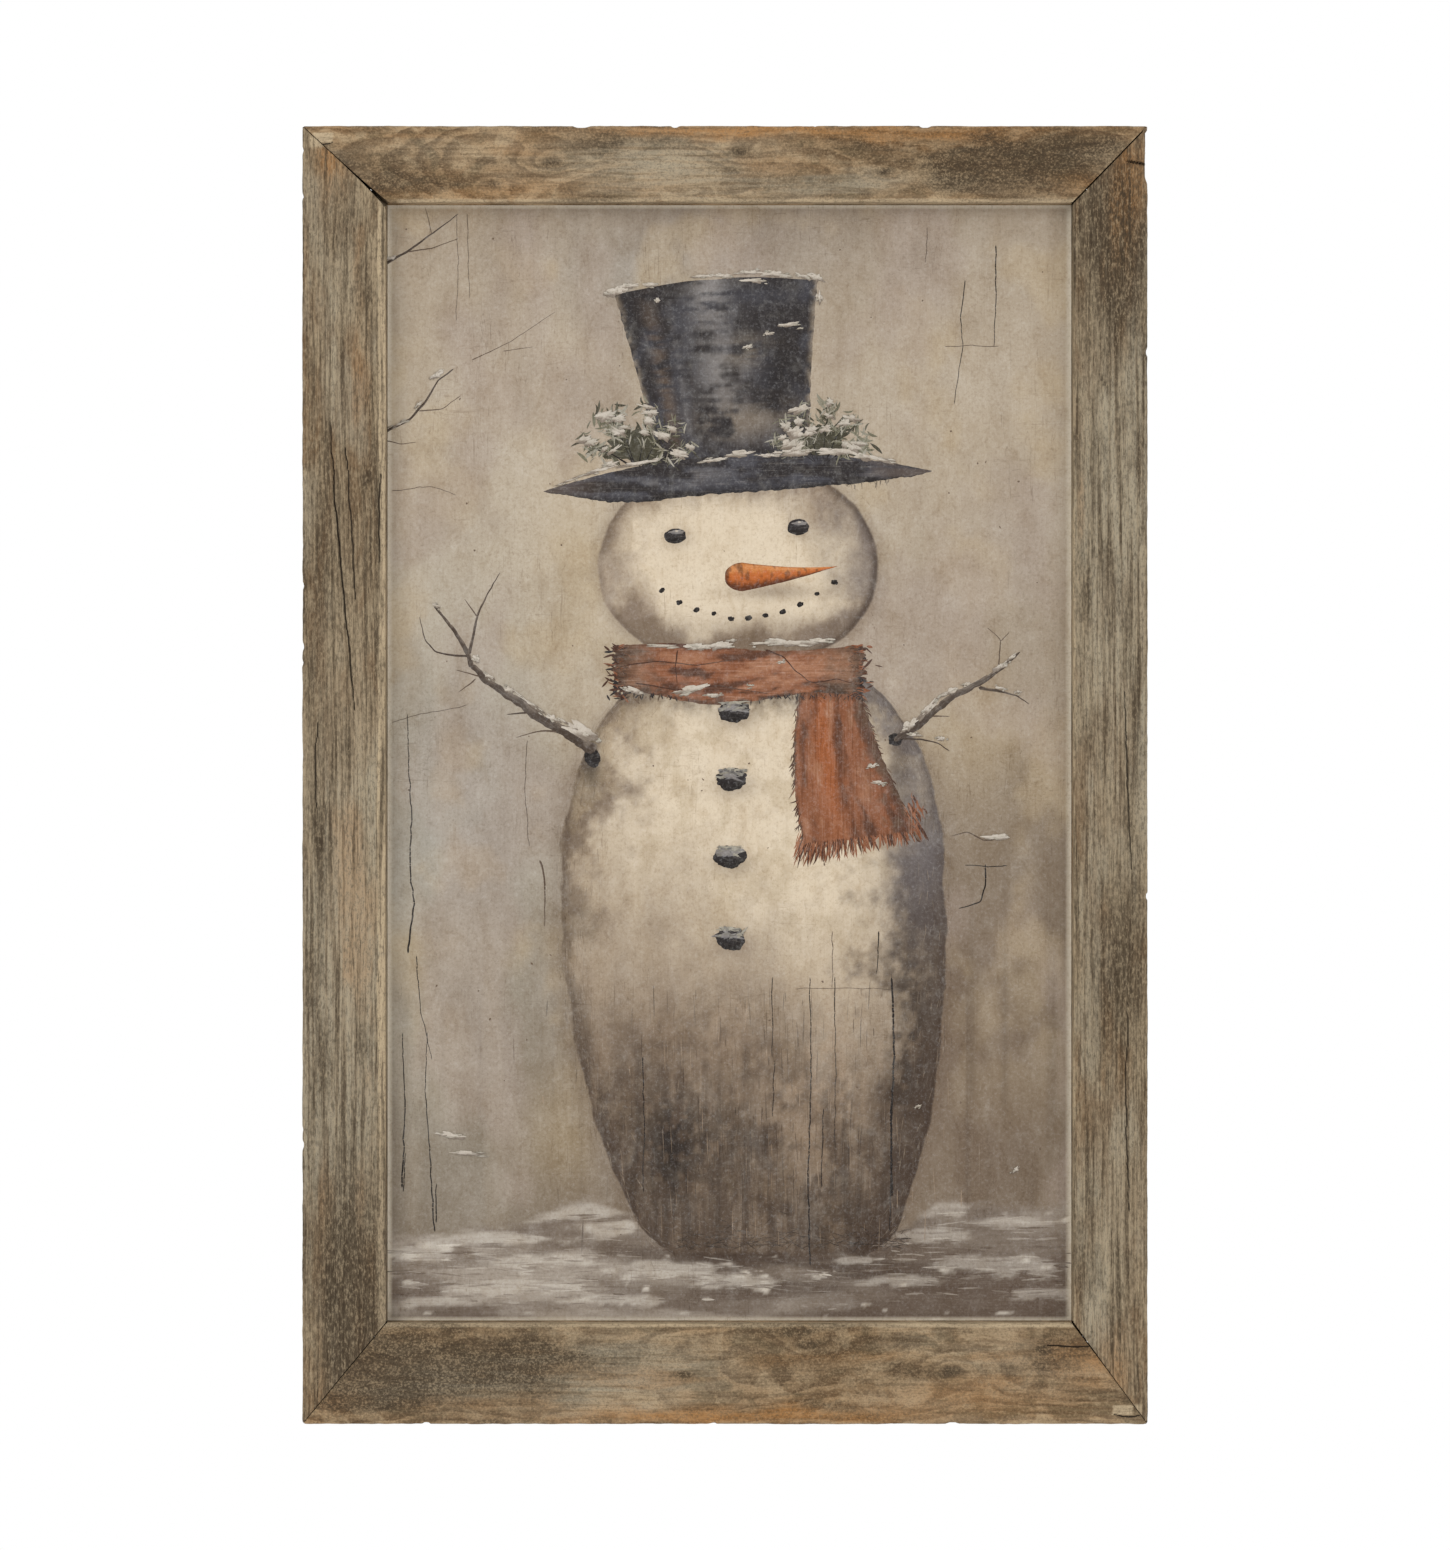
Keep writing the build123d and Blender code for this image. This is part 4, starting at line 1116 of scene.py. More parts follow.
def paint_scarf(material):
    """A band of worn knitted cloth with frayed ends, a tail that widens downwards, and its fringe."""
    scarf = Paint()
    dice = np.random.default_rng(61)
    v, u = np.meshgrid(np.linspace(0, 1, 64), np.linspace(0, 1, 34))
    left, right = scarf_tail_sides(v)
    foot = TAIL_FOOT + 6 * u
    x = left + (right - left) * u + 1.2 * (clouds(v * 26, u * 4, seed=411, octaves=3) - 0.5)
    z = TAIL_TOP + (foot - TAIL_TOP) * v
    folds = clouds(u * 6.5 + 0.6 * v, v * 1.6, seed=412, octaves=3)
    wear = clouds(x / 2.2, z / 5, seed=413, octaves=4)
    colour = layered(
        RUST,
        (BRICK, 0.85 * step(folds + 0.3 * (wear - 0.5), 0.50, 0.72)),
        (CARROT, 0.42 * hill(u, v, 0.36, 0.42, 0.12, 0.5)),
        (APRICOT, 0.55 * step(wear, 0.52, 0.74) * step(folds, 0.62, 0.40)),
        (FUR, 0.55 * step(u, 0.62, 0.95) * step(wear, 0.38, 0.62)),
        (PEAT, 0.75 * step(v, 0.14, 0.02)),
        (PEAT, 0.55 * np.maximum(step(u, 0.05, 0.0), step(u, 0.94, 1.0))),
    )
    rim = np.minimum(np.minimum(u, 1 - u) * 34, (1 - v) * 70)
    scarf.grid(x, z, 0.16 * step(rim, 0, 2.0) - SUNK * step(rim, 0.6, 0.0), colour, dry=0.85)

    count = 300
    u = dice.uniform(-0.03, 1.02, count)
    length = dice.uniform(6, 17, count) * (1.15 - 0.4 * u)
    x = 187 + 53 * u + dice.normal(0, 1.0, count)
    z = 219 + 7 * u - 0.42 * length + dice.uniform(0, 14, count) * step(length, 12, 8)
    tone = dice.uniform(0, 1, count)
    colour = mix(mix(RUST, BRICK, step(tone, 0.35, 0.8)), APRICOT, 0.6 * step(tone, 0.22, 0.0))
    scarf.bristles(x, z, length, dice.uniform(0.6, 2.2, count), 16 - 44 * u + dice.normal(0, 10, count),
                   colour, bend=dice.normal(0, 1.2, count), high=0.14, dry=0.9)

    count = 170
    v = dice.uniform(0.05, 1.0, count)
    side = dice.integers(0, 2, count)
    left, right = scarf_tail_sides(v)
    x = np.where(side == 0, left + 0.8, right - 0.8) + dice.normal(0, 0.6, count)
    tone = dice.uniform(0, 1, count)
    colour = mix(mix(FUR, BRICK, step(tone, 0.2, 0.6)), APRICOT, 0.6 * step(tone, 0.8, 1.0))
    turn = np.where(side == 0, 24, -44) + dice.normal(0, 14, count)
    scarf.bristles(x, TAIL_TOP - 72 * v, dice.uniform(3, 8, count), dice.uniform(0.5, 1.3, count), turn,
                   colour, bend=dice.normal(0, 0.6, count), high=0.15, dry=0.9)

    u, v = np.meshgrid(np.linspace(0, 1, 130), np.linspace(0, 1, 34))
    end = np.minimum(u, 1 - u) * (SCARF_RIGHT - SCARF_LEFT)
    fray = 7.0 * (clouds(0.3, v * 9, seed=414, octaves=2) - 0.45) * step(end, 16, 0)
    x = SCARF_LEFT + (SCARF_RIGHT - SCARF_LEFT) * u + fray * np.where(u < 0.5, 1, -1)
    top = 305 + 1.8 * np.sin(7 * u) - 2.0 * step(end, 7, 0)
    bottom = 282 - 2.2 * np.sin(np.pi * u) + 2.2 * np.sin(9 * u + 1) + 3.0 * step(end, 7, 0)
    z = bottom + (top - bottom) * v + 0.7 * (clouds(x / 3, v * 5, seed=415) - 0.5)
    folds = clouds(x / 34, v * 4.2 + 0.9 * np.sin(5 * u), seed=416, octaves=3)
    wear = clouds(x / 5, z / 2.2, seed=417, octaves=4)
    colour = layered(
        RUST,
        (APRICOT, 0.60 * step(folds + 0.7 * (wear - 0.5), 0.48, 0.74)),
        (BRICK, 0.85 * step(folds + 0.5 * (wear - 0.5), 0.46, 0.28)),
        (APRICOT, 0.45 * hill(u, v, 0.66, 0.48, 0.12, 0.35) * step(wear, 0.3, 0.6)),
        (FUR, 0.55 * step(end + 22 * (wear - 0.5), 26, 8)),
        (PEAT, 0.70 * step(end + 9 * (wear - 0.5), 9, 2)),
        (PEAT, 0.75 * step(v + 0.5 * (wear - 0.5), 0.17, 0.0)),
        (PEAT, 0.45 * step(v + 0.5 * (wear - 0.5), 0.86, 1.0)),
    )
    rim = np.minimum(np.minimum(u, 1 - u) * 115, np.minimum(v, 1 - v) * 23)
    scarf.grid(x, z, 0.30 * step(rim, 0, 2.2) - SUNK * step(rim, 0.6, 0.0), colour, sideways=1.0, dry=0.85)

    creases = [
        [(171, 303), (179, 300), (184, 294), (190, 289), (199, 286)],
        [(108, 296), (122, 298), (140, 296), (158, 299)],
        [(112, 288), (130, 285), (150, 287), (172, 283)],
        [(192, 288), (203, 290), (213, 287)],
        [(131, 303), (130, 296), (131, 288)],
    ]
    for number, crease in enumerate(creases):
        scarf.line(crease, (1.3, 0.5), BRICK, high=0.42, rough=0.3, seed=420 + 4 * number)

    count = 260
    side = dice.integers(0, 2, count)
    z = dice.uniform(281, 305, count)
    x = np.where(side == 0, SCARF_LEFT + 3.5, SCARF_RIGHT - 3.5) + dice.normal(0, 2.8, count)
    tone = dice.uniform(0, 1, count)[:, None]
    colour = np.where(tone < 0.30, CHARCOAL, np.where(tone < 0.62, BRICK, RUST))
    scarf.bristles(x, z, dice.uniform(2, 6, count), dice.uniform(0.5, 1.5, count),
                   90 + dice.normal(0, 26, count), colour, high=0.36, dry=0.8, sideways=1.0)
    x = np.linspace(104, 213, 150)
    x = x + dice.normal(0, 1.0, x.size)
    z = 282 + dice.normal(0, 0.9, x.size)
    tone = dice.uniform(0, 1, x.size)[:, None]
    colour = np.where(tone < 0.7, CHARCOAL, FUR)
    scarf.bristles(x, z, dice.uniform(1.5, 4.5, x.size), dice.uniform(0.4, 1.1, x.size),
                   dice.normal(0, 24, x.size), colour, high=0.30, dry=0.8)
    return scarf.piece("picture_scarf", material)


def paint_carrot(material):
    """A blunt root that tapers to a point at the right, ringed, lit from above."""
    carrot = Paint()
    s, v = np.meshgrid(np.linspace(0, 1, 96), np.linspace(-1, 1, 23))
    blunt = np.sqrt(np.clip(1 - (1 - np.minimum(s / ROOT_BLUNT, 1)) ** 2, 0, 1))
    taper = np.clip(1 - np.maximum(s - ROOT_BLUNT, 0) / (1 - ROOT_BLUNT), 0, 1) ** 1.12
    half = ROOT_HALF_WIDTH * blunt * taper + 0.02
    lumps = 0.25 * (clouds(s * 22, v * 1.5, seed=431, octaves=2) - 0.5)
    x = ROOT_X + ROOT_LENGTH * s + 0.8 * (1 - v**2) * blunt
    z = ROOT_Z + 5.2 * s**2.2 + half * v + lumps
    rings = clouds(s * 42 + 0.5 * v**2, v * 0.8, seed=432, octaves=2)
    colour = layered(
        CARROT,
        (CARROT_LIGHT, step(v + 0.9 * (rings - 0.5), 0.05, 0.60) * 0.75),
        (CARROT_DARK, 0.90 * step(v + 0.6 * (rings - 0.5), -0.10, -0.85)),
        (CARROT_DARK, 0.62 * step(rings, 0.56, 0.70)),
        (CARROT_DARK, 0.85 * step(s, 0.045, 0.0)),
        (CARROT_DARK, 0.70 * step(v, 0.80, 1.0)),
    )
    rim = np.minimum(1 - np.abs(v), 1) * half
    lift = 0.42 * np.sqrt(np.clip(1 - v**2, 0, 1)) * blunt * taper**0.4
    carrot.grid(x, z, lift - SUNK * step(rim, 0.4, 0.0), colour, along=x * 3, across=z, dry=0.55)
    return carrot.piece("picture_carrot", material)


def paint_coal(material):
    """Coal eyes with a grey upper light, a smile of small stones and four snow-dusted buttons."""
    coal = Paint()
    smile = np.linspace(-1, 1, SMILE_STONES)
    x = SMILE_X + SMILE_HALF_WIDTH * smile
    z = SMILE_Z + SMILE_DEPTH * np.abs(smile) ** 2.1 + 2.0 * smile
    dice = np.random.default_rng(62)
    size = dice.uniform(1.1, 1.75, SMILE_STONES)
    jog, turn = dice.normal(0, 0.5, SMILE_STONES), dice.normal(8, 14, SMILE_STONES)
    stones = np.stack([x, z + jog, size * 1.15, size * 0.85, turn], axis=1)
    coal.touches(stones, SOOT, high=0.25, ragged=0.35, seed=441)
    for number, (x, z) in enumerate(EYES):
        light, glint = (x + 0.2, z + 1.4, 3.8, 1.5, 3), (x + 0.6, z + 2.2, 1.0, 0.55, 0)
        coal.touches([(x, z, 5.3, 3.8, 4)], CHARCOAL, SOOT, high=0.40, ragged=0.12,
                     seed=445 + number, fine=21)
        coal.touches([light], PEWTER, SLATE, high=0.26, ragged=0.5, seed=447, layer=14)
        coal.touches([glint], SNOW, high=0.22, ragged=0.3, seed=449, layer=20)
    for number, (x, z) in enumerate(BUTTONS):
        seed = 451 + 9 * number
        stone, light = (x, z, 7.4, 5.2, dice.normal(0, 5)), (x - 0.3, z + 1.2, 5.8, 2.8, 0)
        coal.touches([stone], CHARCOAL, SOOT, high=0.45, ragged=0.22, seed=seed, fine=25)
        coal.touches([light], PEWTER, SLATE, high=0.30, ragged=0.7, seed=seed + 1, layer=16, fine=17)
        flecks = np.stack([
            x + dice.uniform(-6, 6, 16), z + dice.uniform(0.5, 4.6, 16), dice.uniform(0.6, 2.4, 16),
            dice.uniform(0.25, 0.7, 16), dice.normal(0, 20, 16),
        ], axis=1)
        tint = mix(FROST, SLATE, dice.uniform(0, 0.8, 16))
        coal.touches(flecks, tint, high=0.22, ragged=0.8, seed=seed + 2, layer=30)
        cap = (x, z + 4.3, 5.4, 0.9, dice.normal(0, 3))
        coal.touches([cap], FROST, high=0.26, ragged=0.9, seed=seed + 3, layer=12, fine=17)
    return coal.piece("picture_coal", material)


# The stick arms and the far branches: points from the body outwards, with the width at each end.
BRANCHES = [
    ([(94, 257), (82, 265), (69, 272), (57, 281), (46, 288), (38, 296)], (6.2, 2.6)),
    ([(38, 295), (36, 302), (32, 309), (26, 317), (21, 323)], (2.8, 1.0)),
    ([(37, 301), (39, 311), (41, 320), (46, 330), (51, 338)], (1.9, 0.35)),
    ([(40.5, 318), (35, 326)], (0.9, 0.3)),
    ([(37, 300), (29, 300.5), (22, 302), (17, 307), (14.5, 318)], (1.3, 0.3)),
    ([(42, 291), (31, 294)], (1.0, 0.3)), ([(40, 290), (32, 284)], (0.9, 0.3)),
    ([(66, 275), (54, 274)], (1.3, 0.5)), ([(78, 266), (69, 266.5), (58, 263.5)], (1.2, 0.25)),
    ([(229, 262), (240, 269), (249, 277), (255, 282), (264, 286), (272, 291)], (4.4, 2.6)),
    ([(271, 290), (279, 296), (286, 302)], (2.4, 0.9)),
    ([(267, 286), (276, 284.5), (284, 282.5), (290, 278.5)], (1.9, 0.4)),
    ([(276, 293), (276.5, 301), (277, 308), (271, 313)], (0.9, 0.25)),
    ([(277, 307), (281, 311)], (0.5, 0.25)),
    ([(233, 263), (242, 262.5), (249, 261), (254, 257)], (1.4, 0.4)),
    ([(246, 273), (254, 273)], (1.1, 0.35)), ([(-2, 477), (9, 483), (20, 491), (32, 500)], (1.5, 0.4)),
    ([(9, 483), (20, 484.5), (32, 489)], (0.8, 0.3)), ([(20, 491), (17, 503)], (0.5, 0.3)),
    ([(-2, 401), (10, 407), (17, 415), (23, 425), (30, 430)], (1.6, 0.7)),
    ([(14, 411), (25, 412), (33, 418)], (0.7, 0.3)), ([(-2, 398), (6, 396), (13, 397)], (0.7, 0.3)),
    ([(38, 434), (55, 442), (76, 456)], (0.5, 0.2)), ([(52, 438), (66, 440)], (0.4, 0.2)),
    ([(69, 208), (71, 200), (71, 178)], (1.2, 0.5)),
    ([(255, 219), (262, 221), (269, 217), (274, 217)], (0.5, 0.9)),
]


def paint_twigs(material):
    """The stick arms and thin winter branches, lighter along their upper side."""
    twigs = Paint()
    for number, (points, widths) in enumerate(BRANCHES):
        thick = max(widths)
        edge = BARK_LIGHT if thick > 1.8 else None
        colour = mix(BARK, FUR, 0.2 if thick > 1.2 else 0.6)
        twigs.line(points, widths, colour, edge, high=0.08 + 0.05 * thick, rough=0.15 + 0.1 * thick,
                   seed=500 + 5 * number)
    sockets = [(92.5, 254.5, 4.2, 5.2, 10), (229.5, 262.5, 3.8, 3.4, 0)]
    twigs.touches(sockets, SOOT, CHARCOAL, high=0.2, seed=491)
    return twigs.piece("picture_twigs", material)


# The two sprigs, as (across, up, half width, height), and how many leaves and touches of snow each has.
SPRIGS = [(113, 386, 24, 27), (196, 388, 21, 25)]
STEMS = np.array([-1.35, -0.85, -0.35, 0.25, 0.75, 1.30])
LEAVES, LEAF_SNOW = 300, 22


def paint_sprigs(material):
    """Two sprigs of snowy leaves on the brim: slim leaves that fan out from six stems, dark at first
    and frosted last, with broken snow on them."""
    sprigs = Paint()
    dice = np.random.default_rng(63)
    for number, (x0, z0, half_width, height) in enumerate(SPRIGS):
        shade = (x0, z0 + 9, half_width * 0.62, 9, 0)
        sprigs.touches([shade], OLIVE, high=0.20, ragged=0.7, seed=519 + number, fine=25)
        stems = STEMS + dice.normal(0, 0.08, len(STEMS))
        for stem in stems:
            foot = (x0 + 3 * np.sin(stem), z0)
            tip = (x0 + half_width * 0.95 * np.sin(stem), z0 + 2 + height * 0.9 * np.cos(stem))
            bow = ((x0 + tip[0]) / 2, z0 + 0.6 * (tip[1] - z0))
            sprigs.line([foot, bow, tip], (1.1, 0.5), SOOT, high=0.24, seed=int(700 + 50 * stem))
        count = LEAVES
        fan = stems[dice.integers(0, len(STEMS), count)] + dice.normal(0, 0.10, count)
        reach = dice.uniform(0.22, 1.0, count) ** 0.7
        x = x0 + half_width * 1.1 * np.sin(fan) * reach + dice.normal(0, 1.6, count)
        z = z0 + 2 + height * np.cos(fan) * reach * 1.02 + dice.normal(0, 1.6, count)
        turn = np.degrees(fan) + np.where(dice.uniform(0, 1, count) < 0.5, -1, 1) * dice.normal(42, 14, count)
        tone = dice.uniform(0, 1, count)
        order = np.argsort(tone)
        x, z, turn, tone = x[order], z[order], turn[order], tone[order]
        colour = mix(mix(OLIVE, SAGE, step(tone, 0.15, 0.6)), FROST, step(tone, 0.5, 1.0))
        long = dice.uniform(3.0, 8.0, count)
        sprigs.bristles(x, z, long, long * dice.uniform(0.12, 0.26, count), turn, colour,
                        bend=dice.normal(0, 0.7, count), high=0.26 + 0.12 * tone[:, None, None], dry=0.8)
        count = LEAF_SNOW
        fan = stems[np.arange(count) % len(STEMS)] + dice.normal(0, 0.07, count)
        reach = dice.uniform(0.45, 1.05, count)
        x = x0 + half_width * np.sin(fan) * reach
        z = z0 + 4 + height * np.cos(fan) * reach * 0.9
        places = np.stack([
            x, z, dice.uniform(1.4, 4.6, count), dice.uniform(0.8, 2.0, count),
            -20 * np.sin(fan) + dice.normal(0, 16, count),
        ], axis=1)
        sprigs.touches(places, mix(SNOW, FROST, dice.uniform(0, 0.5, count)), SLUSH, high=0.26, ragged=0.8,
                       seed=530 + number, layer=20, fine=13)
    return sprigs.piece("picture_sprigs", material)


# Snow on the picture's shapes, as touches (across, up, half length, half width, turn).
HAT_SNOW = [
    (103, 465, 4.6, 2.2, 14), (109, 467.5, 4.2, 1.5, 8), (119, 468, 3.6, 1.2, 0), (142, 472, 5.0, 0.9, 5),
    (152, 472, 4.4, 1.1, -4), (163, 473.5, 5.2, 1.1, 3), (174, 473, 6.2, 1.9, -6),
    (166, 470, 5.4, 1.3, -5), (187, 472, 3.2, 1.2, -10), (194, 471, 3.6, 1.9, -15),
    (195, 462, 0.8, 3.2, 0), (122, 461, 1.1, 1.4, 0), (181, 450, 5.4, 1.0, 8), (172, 446, 2.3, 0.8, 0),
    (163, 440, 2.0, 1.0, 10), (146, 388.5, 6.0, 1.0, 8), (160, 391.5, 7.4, 1.6, 8),
    (172, 391, 5.0, 1.0, 0), (184, 392.5, 7.6, 2.0, 3), (203, 392.5, 8.4, 1.8, -3),
    (214, 390.5, 5.0, 1.6, -24), (223, 389, 6.4, 1.1, -14), (112, 387, 9.0, 1.1, 10),
    (95, 384, 8.0, 0.9, 18), (82, 379.5, 6.0, 0.5, 20), (101, 387, 3.4, 1.4, 12),
]
SCARF_SNOW = [
    (124, 304.8, 7.0, 0.8, -2), (140, 304.2, 6.0, 1.6, 3), (149, 305, 6.6, 2.0, 6),
    (170, 306, 5.0, 1.0, 4), (181, 306.2, 9.0, 1.8, -3), (193, 306.8, 7.0, 1.8, 4),
    (137, 285, 7.6, 1.7, 14), (112, 284.5, 5.6, 1.5, -14), (147, 282.5, 3.4, 0.9, 0),
    (178, 297.5, 1.8, 0.7, 8), (164, 287, 1.6, 0.5, 0), (219, 250.5, 2.4, 1.1, 16),
    (222, 243, 3.2, 0.9, -6),
]
ARM_SNOW = [
    (87, 266.5, 9.0, 3.2, -31), (75, 272, 3.4, 1.5, -28), (65, 278.5, 8.0, 0.9, -36),
    (55, 285, 2.4, 1.5, -20), (46, 291, 3.0, 1.0, -38), (40, 299, 1.3, 2.3, 8), (22, 323, 1.8, 0.9, -30),
    (236, 269, 4.4, 2.1, 36), (244, 276, 7.0, 1.6, 44), (254, 284, 4.4, 1.3, 28),
    (262, 287.5, 2.6, 0.9, 16), (277, 295.5, 4.2, 1.8, 32), (282, 299.5, 2.4, 0.9, 38),
    (239, 264.5, 3.4, 1.0, -6), (250, 263, 1.4, 1.3, 0), (277, 285.8, 2.0, 0.8, -8),
    (285, 284, 1.5, 0.8, 0), (22, 427, 3.4, 1.5, 30), (14, 414, 2.6, 0.8, 42), (5, 405, 4.4, 0.7, 24),
    (1.5, 480, 2.4, 0.9, 20), (275, 218.5, 5.6, 1.7, 4), (29, 83.5, 5.6, 1.5, -8),
    (36, 75.5, 7.0, 1.2, -3), (240, 97, 1.4, 0.6, 20), (284, 68, 2.4, 0.9, 40),
]


def paint_snow(material):
    """Touches of snow: each of the places above is broken into a thin ragged one and five smaller."""
    snow = Paint()
    dice = np.random.default_rng(64)
    for number, (places, lift) in enumerate([(HAT_SNOW, 22), (SCARF_SNOW, 32), (ARM_SNOW, 24)]):
        places = np.asarray(places)
        seed = 560 + 3 * number
        broad = places * (1, 1, 0.94, 0.80, 1)
        snow.touches(broad, SNOW, SLUSH, high=0.20, ragged=0.85, seed=seed, layer=lift, fine=17)
        for turn_of_brush in range(5):
            small = places.copy()
            turn = np.radians(small[:, 4])
            slide = dice.uniform(-1.05, 1.05, len(small)) * small[:, 2]
            small[:, 0] += slide * np.cos(turn) + dice.normal(0, 0.5, len(small))
            small[:, 1] += slide * np.sin(turn) + dice.normal(0, 0.6, len(small))
            small[:, 2:4] *= dice.uniform(0.12, 0.42, (len(small), 2))
            small[:, 2:4] = np.maximum(small[:, 2:4], (0.5, 0.3))
            tone = dice.uniform(0, 1, len(small))
            snow.touches(small, mix(SNOW, FROST, tone), SLUSH, high=0.20, ragged=0.8,
                         seed=seed + turn_of_brush, layer=lift + 6)
    return snow.piece("picture_snow", material)


def paint_brushwork(material):
    """Thin bristle marks laid over the broad shapes, each tinted from the colour that it lies on: smoky
    hairs round the body and the head, runs down the body, and level drags across the snow."""
    marks = Paint()
    dice = np.random.default_rng(65)

    def lay(x, z, length, width, turn, target, amount, sideways=0.0, high=0.07):
        """Marks in the painting's colour under each, mixed towards the target by the amount. Marks
        that would reach past the canvas are left out."""
        inside = (x > 2) & (x < PICTURE_WIDTH - 2) & (z > 2 + length / 2) & (z < PICTURE_HEIGHT - 2)
        x, z, length, width, turn, amount = (a[inside] for a in (x, z, length, width, turn, amount))
        colour = mix(painting(x, z)[0], target, amount)
        marks.bristles(x, z, length, width, turn, colour, high=high, dry=0.8, sideways=sideways)

    def strew(x, z, lots, length, width, lean, spread, amount, **style):
        """Marks in lots of (target, how many). Lengths, widths and amounts are drawn between two
        limits, and each mark's turn wanders about the lean."""
        lean = np.broadcast_to(lean, x.shape)
        start = 0
        for target, many in lots:
            lot = slice(start, start + many)
            start += many
            lay(x[lot], z[lot], dice.uniform(*length, many), dice.uniform(*width, many),
                lean[lot] + dice.normal(0, spread, many), target, dice.uniform(*amount, many), **style)

    count = 1100
    z = dice.uniform(34, 285, count)
    side = np.where(dice.uniform(0, 1, count) < 0.5, -1, 1)
    aside = 1.0 - np.abs(dice.normal(0, 0.10, count)) + 0.03
    x = body_middle(z) + side * aside * body_half_width(z)
    slope = np.degrees(np.arctan(np.gradient(body_half_width(np.arange(0, 320.0)))[z.astype(int)]))
    dark = dice.uniform(0, 1, count) < 0.72
    amount = dice.uniform(0.10, 0.40, count)
    turn = side * slope + dice.normal(0, 7, count)
    for chosen, target in ((dark, PEAT), (~dark, SHELL)):
        lay(x[chosen], z[chosen], dice.uniform(3, 11, chosen.sum()), dice.uniform(0.3, 0.9, chosen.sum()),
            turn[chosen], target, amount[chosen])

    # Runs down the body.
    x, z = dice.normal(172, 38, 420), dice.uniform(34, 150, 420)
    strew(x, z, [(PEAT, 200), (TAN, 130), (SOOT, 90)], (4, 24), (0.35, 1.3), 0, 2.5, (0.20, 0.62))

    # Dark drags along the body's foot.
    x = 182 + 52 * dice.uniform(-1, 1, 240)
    z = 33 + np.abs(dice.normal(0, 4.5, 240))
    strew(x, z, [(SOOT, 240)], (3, 12), (0.4, 1.4), 90, 24, (0.3, 0.75), sideways=1.0)

    # Short hairs round the head.
    angle, reach = dice.uniform(0, 2 * np.pi, 260), dice.normal(0.975, 0.045, 260)
    x = HEAD_X + HEAD_HALF_WIDTH * reach * np.cos(angle)
    z = HEAD_Z + HEAD_HALF_HEIGHT * reach * np.sin(angle)
    turn = 90 - np.degrees(np.arctan2(HEAD_HALF_HEIGHT * np.cos(angle), -HEAD_HALF_WIDTH * np.sin(angle)))
    strew(x, z, [(FUR, 260)], (2, 6), (0.3, 0.7), turn, 14, (0.2, 0.6))

    # The brim's ragged shadow.
    x = dice.uniform(92, 228, 200)
    rise = BRIM_RISE * (x - BRIM_LEFT) / BRIM_WIDTH
    sag = BRIM_SAG * np.sin(np.pi * (x - BRIM_LEFT) / BRIM_WIDTH) ** 0.6
    z = BRIM_HEIGHT + 3.5 + rise - sag - dice.uniform(1, 5, 200)
    strew(x, z, [(SOOT, 200)], (2, 8), (0.3, 0.9), 0, 13, (0.3, 0.85))

    # Level drags across the snow on both sides of the body.
    x = dice.uniform(4, 305, 620)
    z = 4 + (snowfield_edge(x) - 8) * dice.uniform(0, 1, 620) ** 1.2
    on_snow = ~((np.abs(x - body_middle(z)) < body_half_width(z)) & (z > BODY_FOOT - 2))
    x, z = x[on_snow], z[on_snow]
    third = x.size // 3
    lots = [(SNOW, third), (MUD, third), (SLUSH, x.size - 2 * third)]
    strew(x, z, lots, (5, 22), (0.5, 2.2), 90, 4, (0.10, 0.45), sideways=1.0)

    # Faint dark and light runs down the whole picture.
    x, z = dice.uniform(4, 305, 260), dice.uniform(60, 500, 260)
    strew(x, z, [(DUSK, 140), (GLOW, 120)], (6, 30), (0.4, 1.4), 0, 1.2, (0.03, 0.12), high=0.03)
    return marks.piece("picture_brushwork", material)


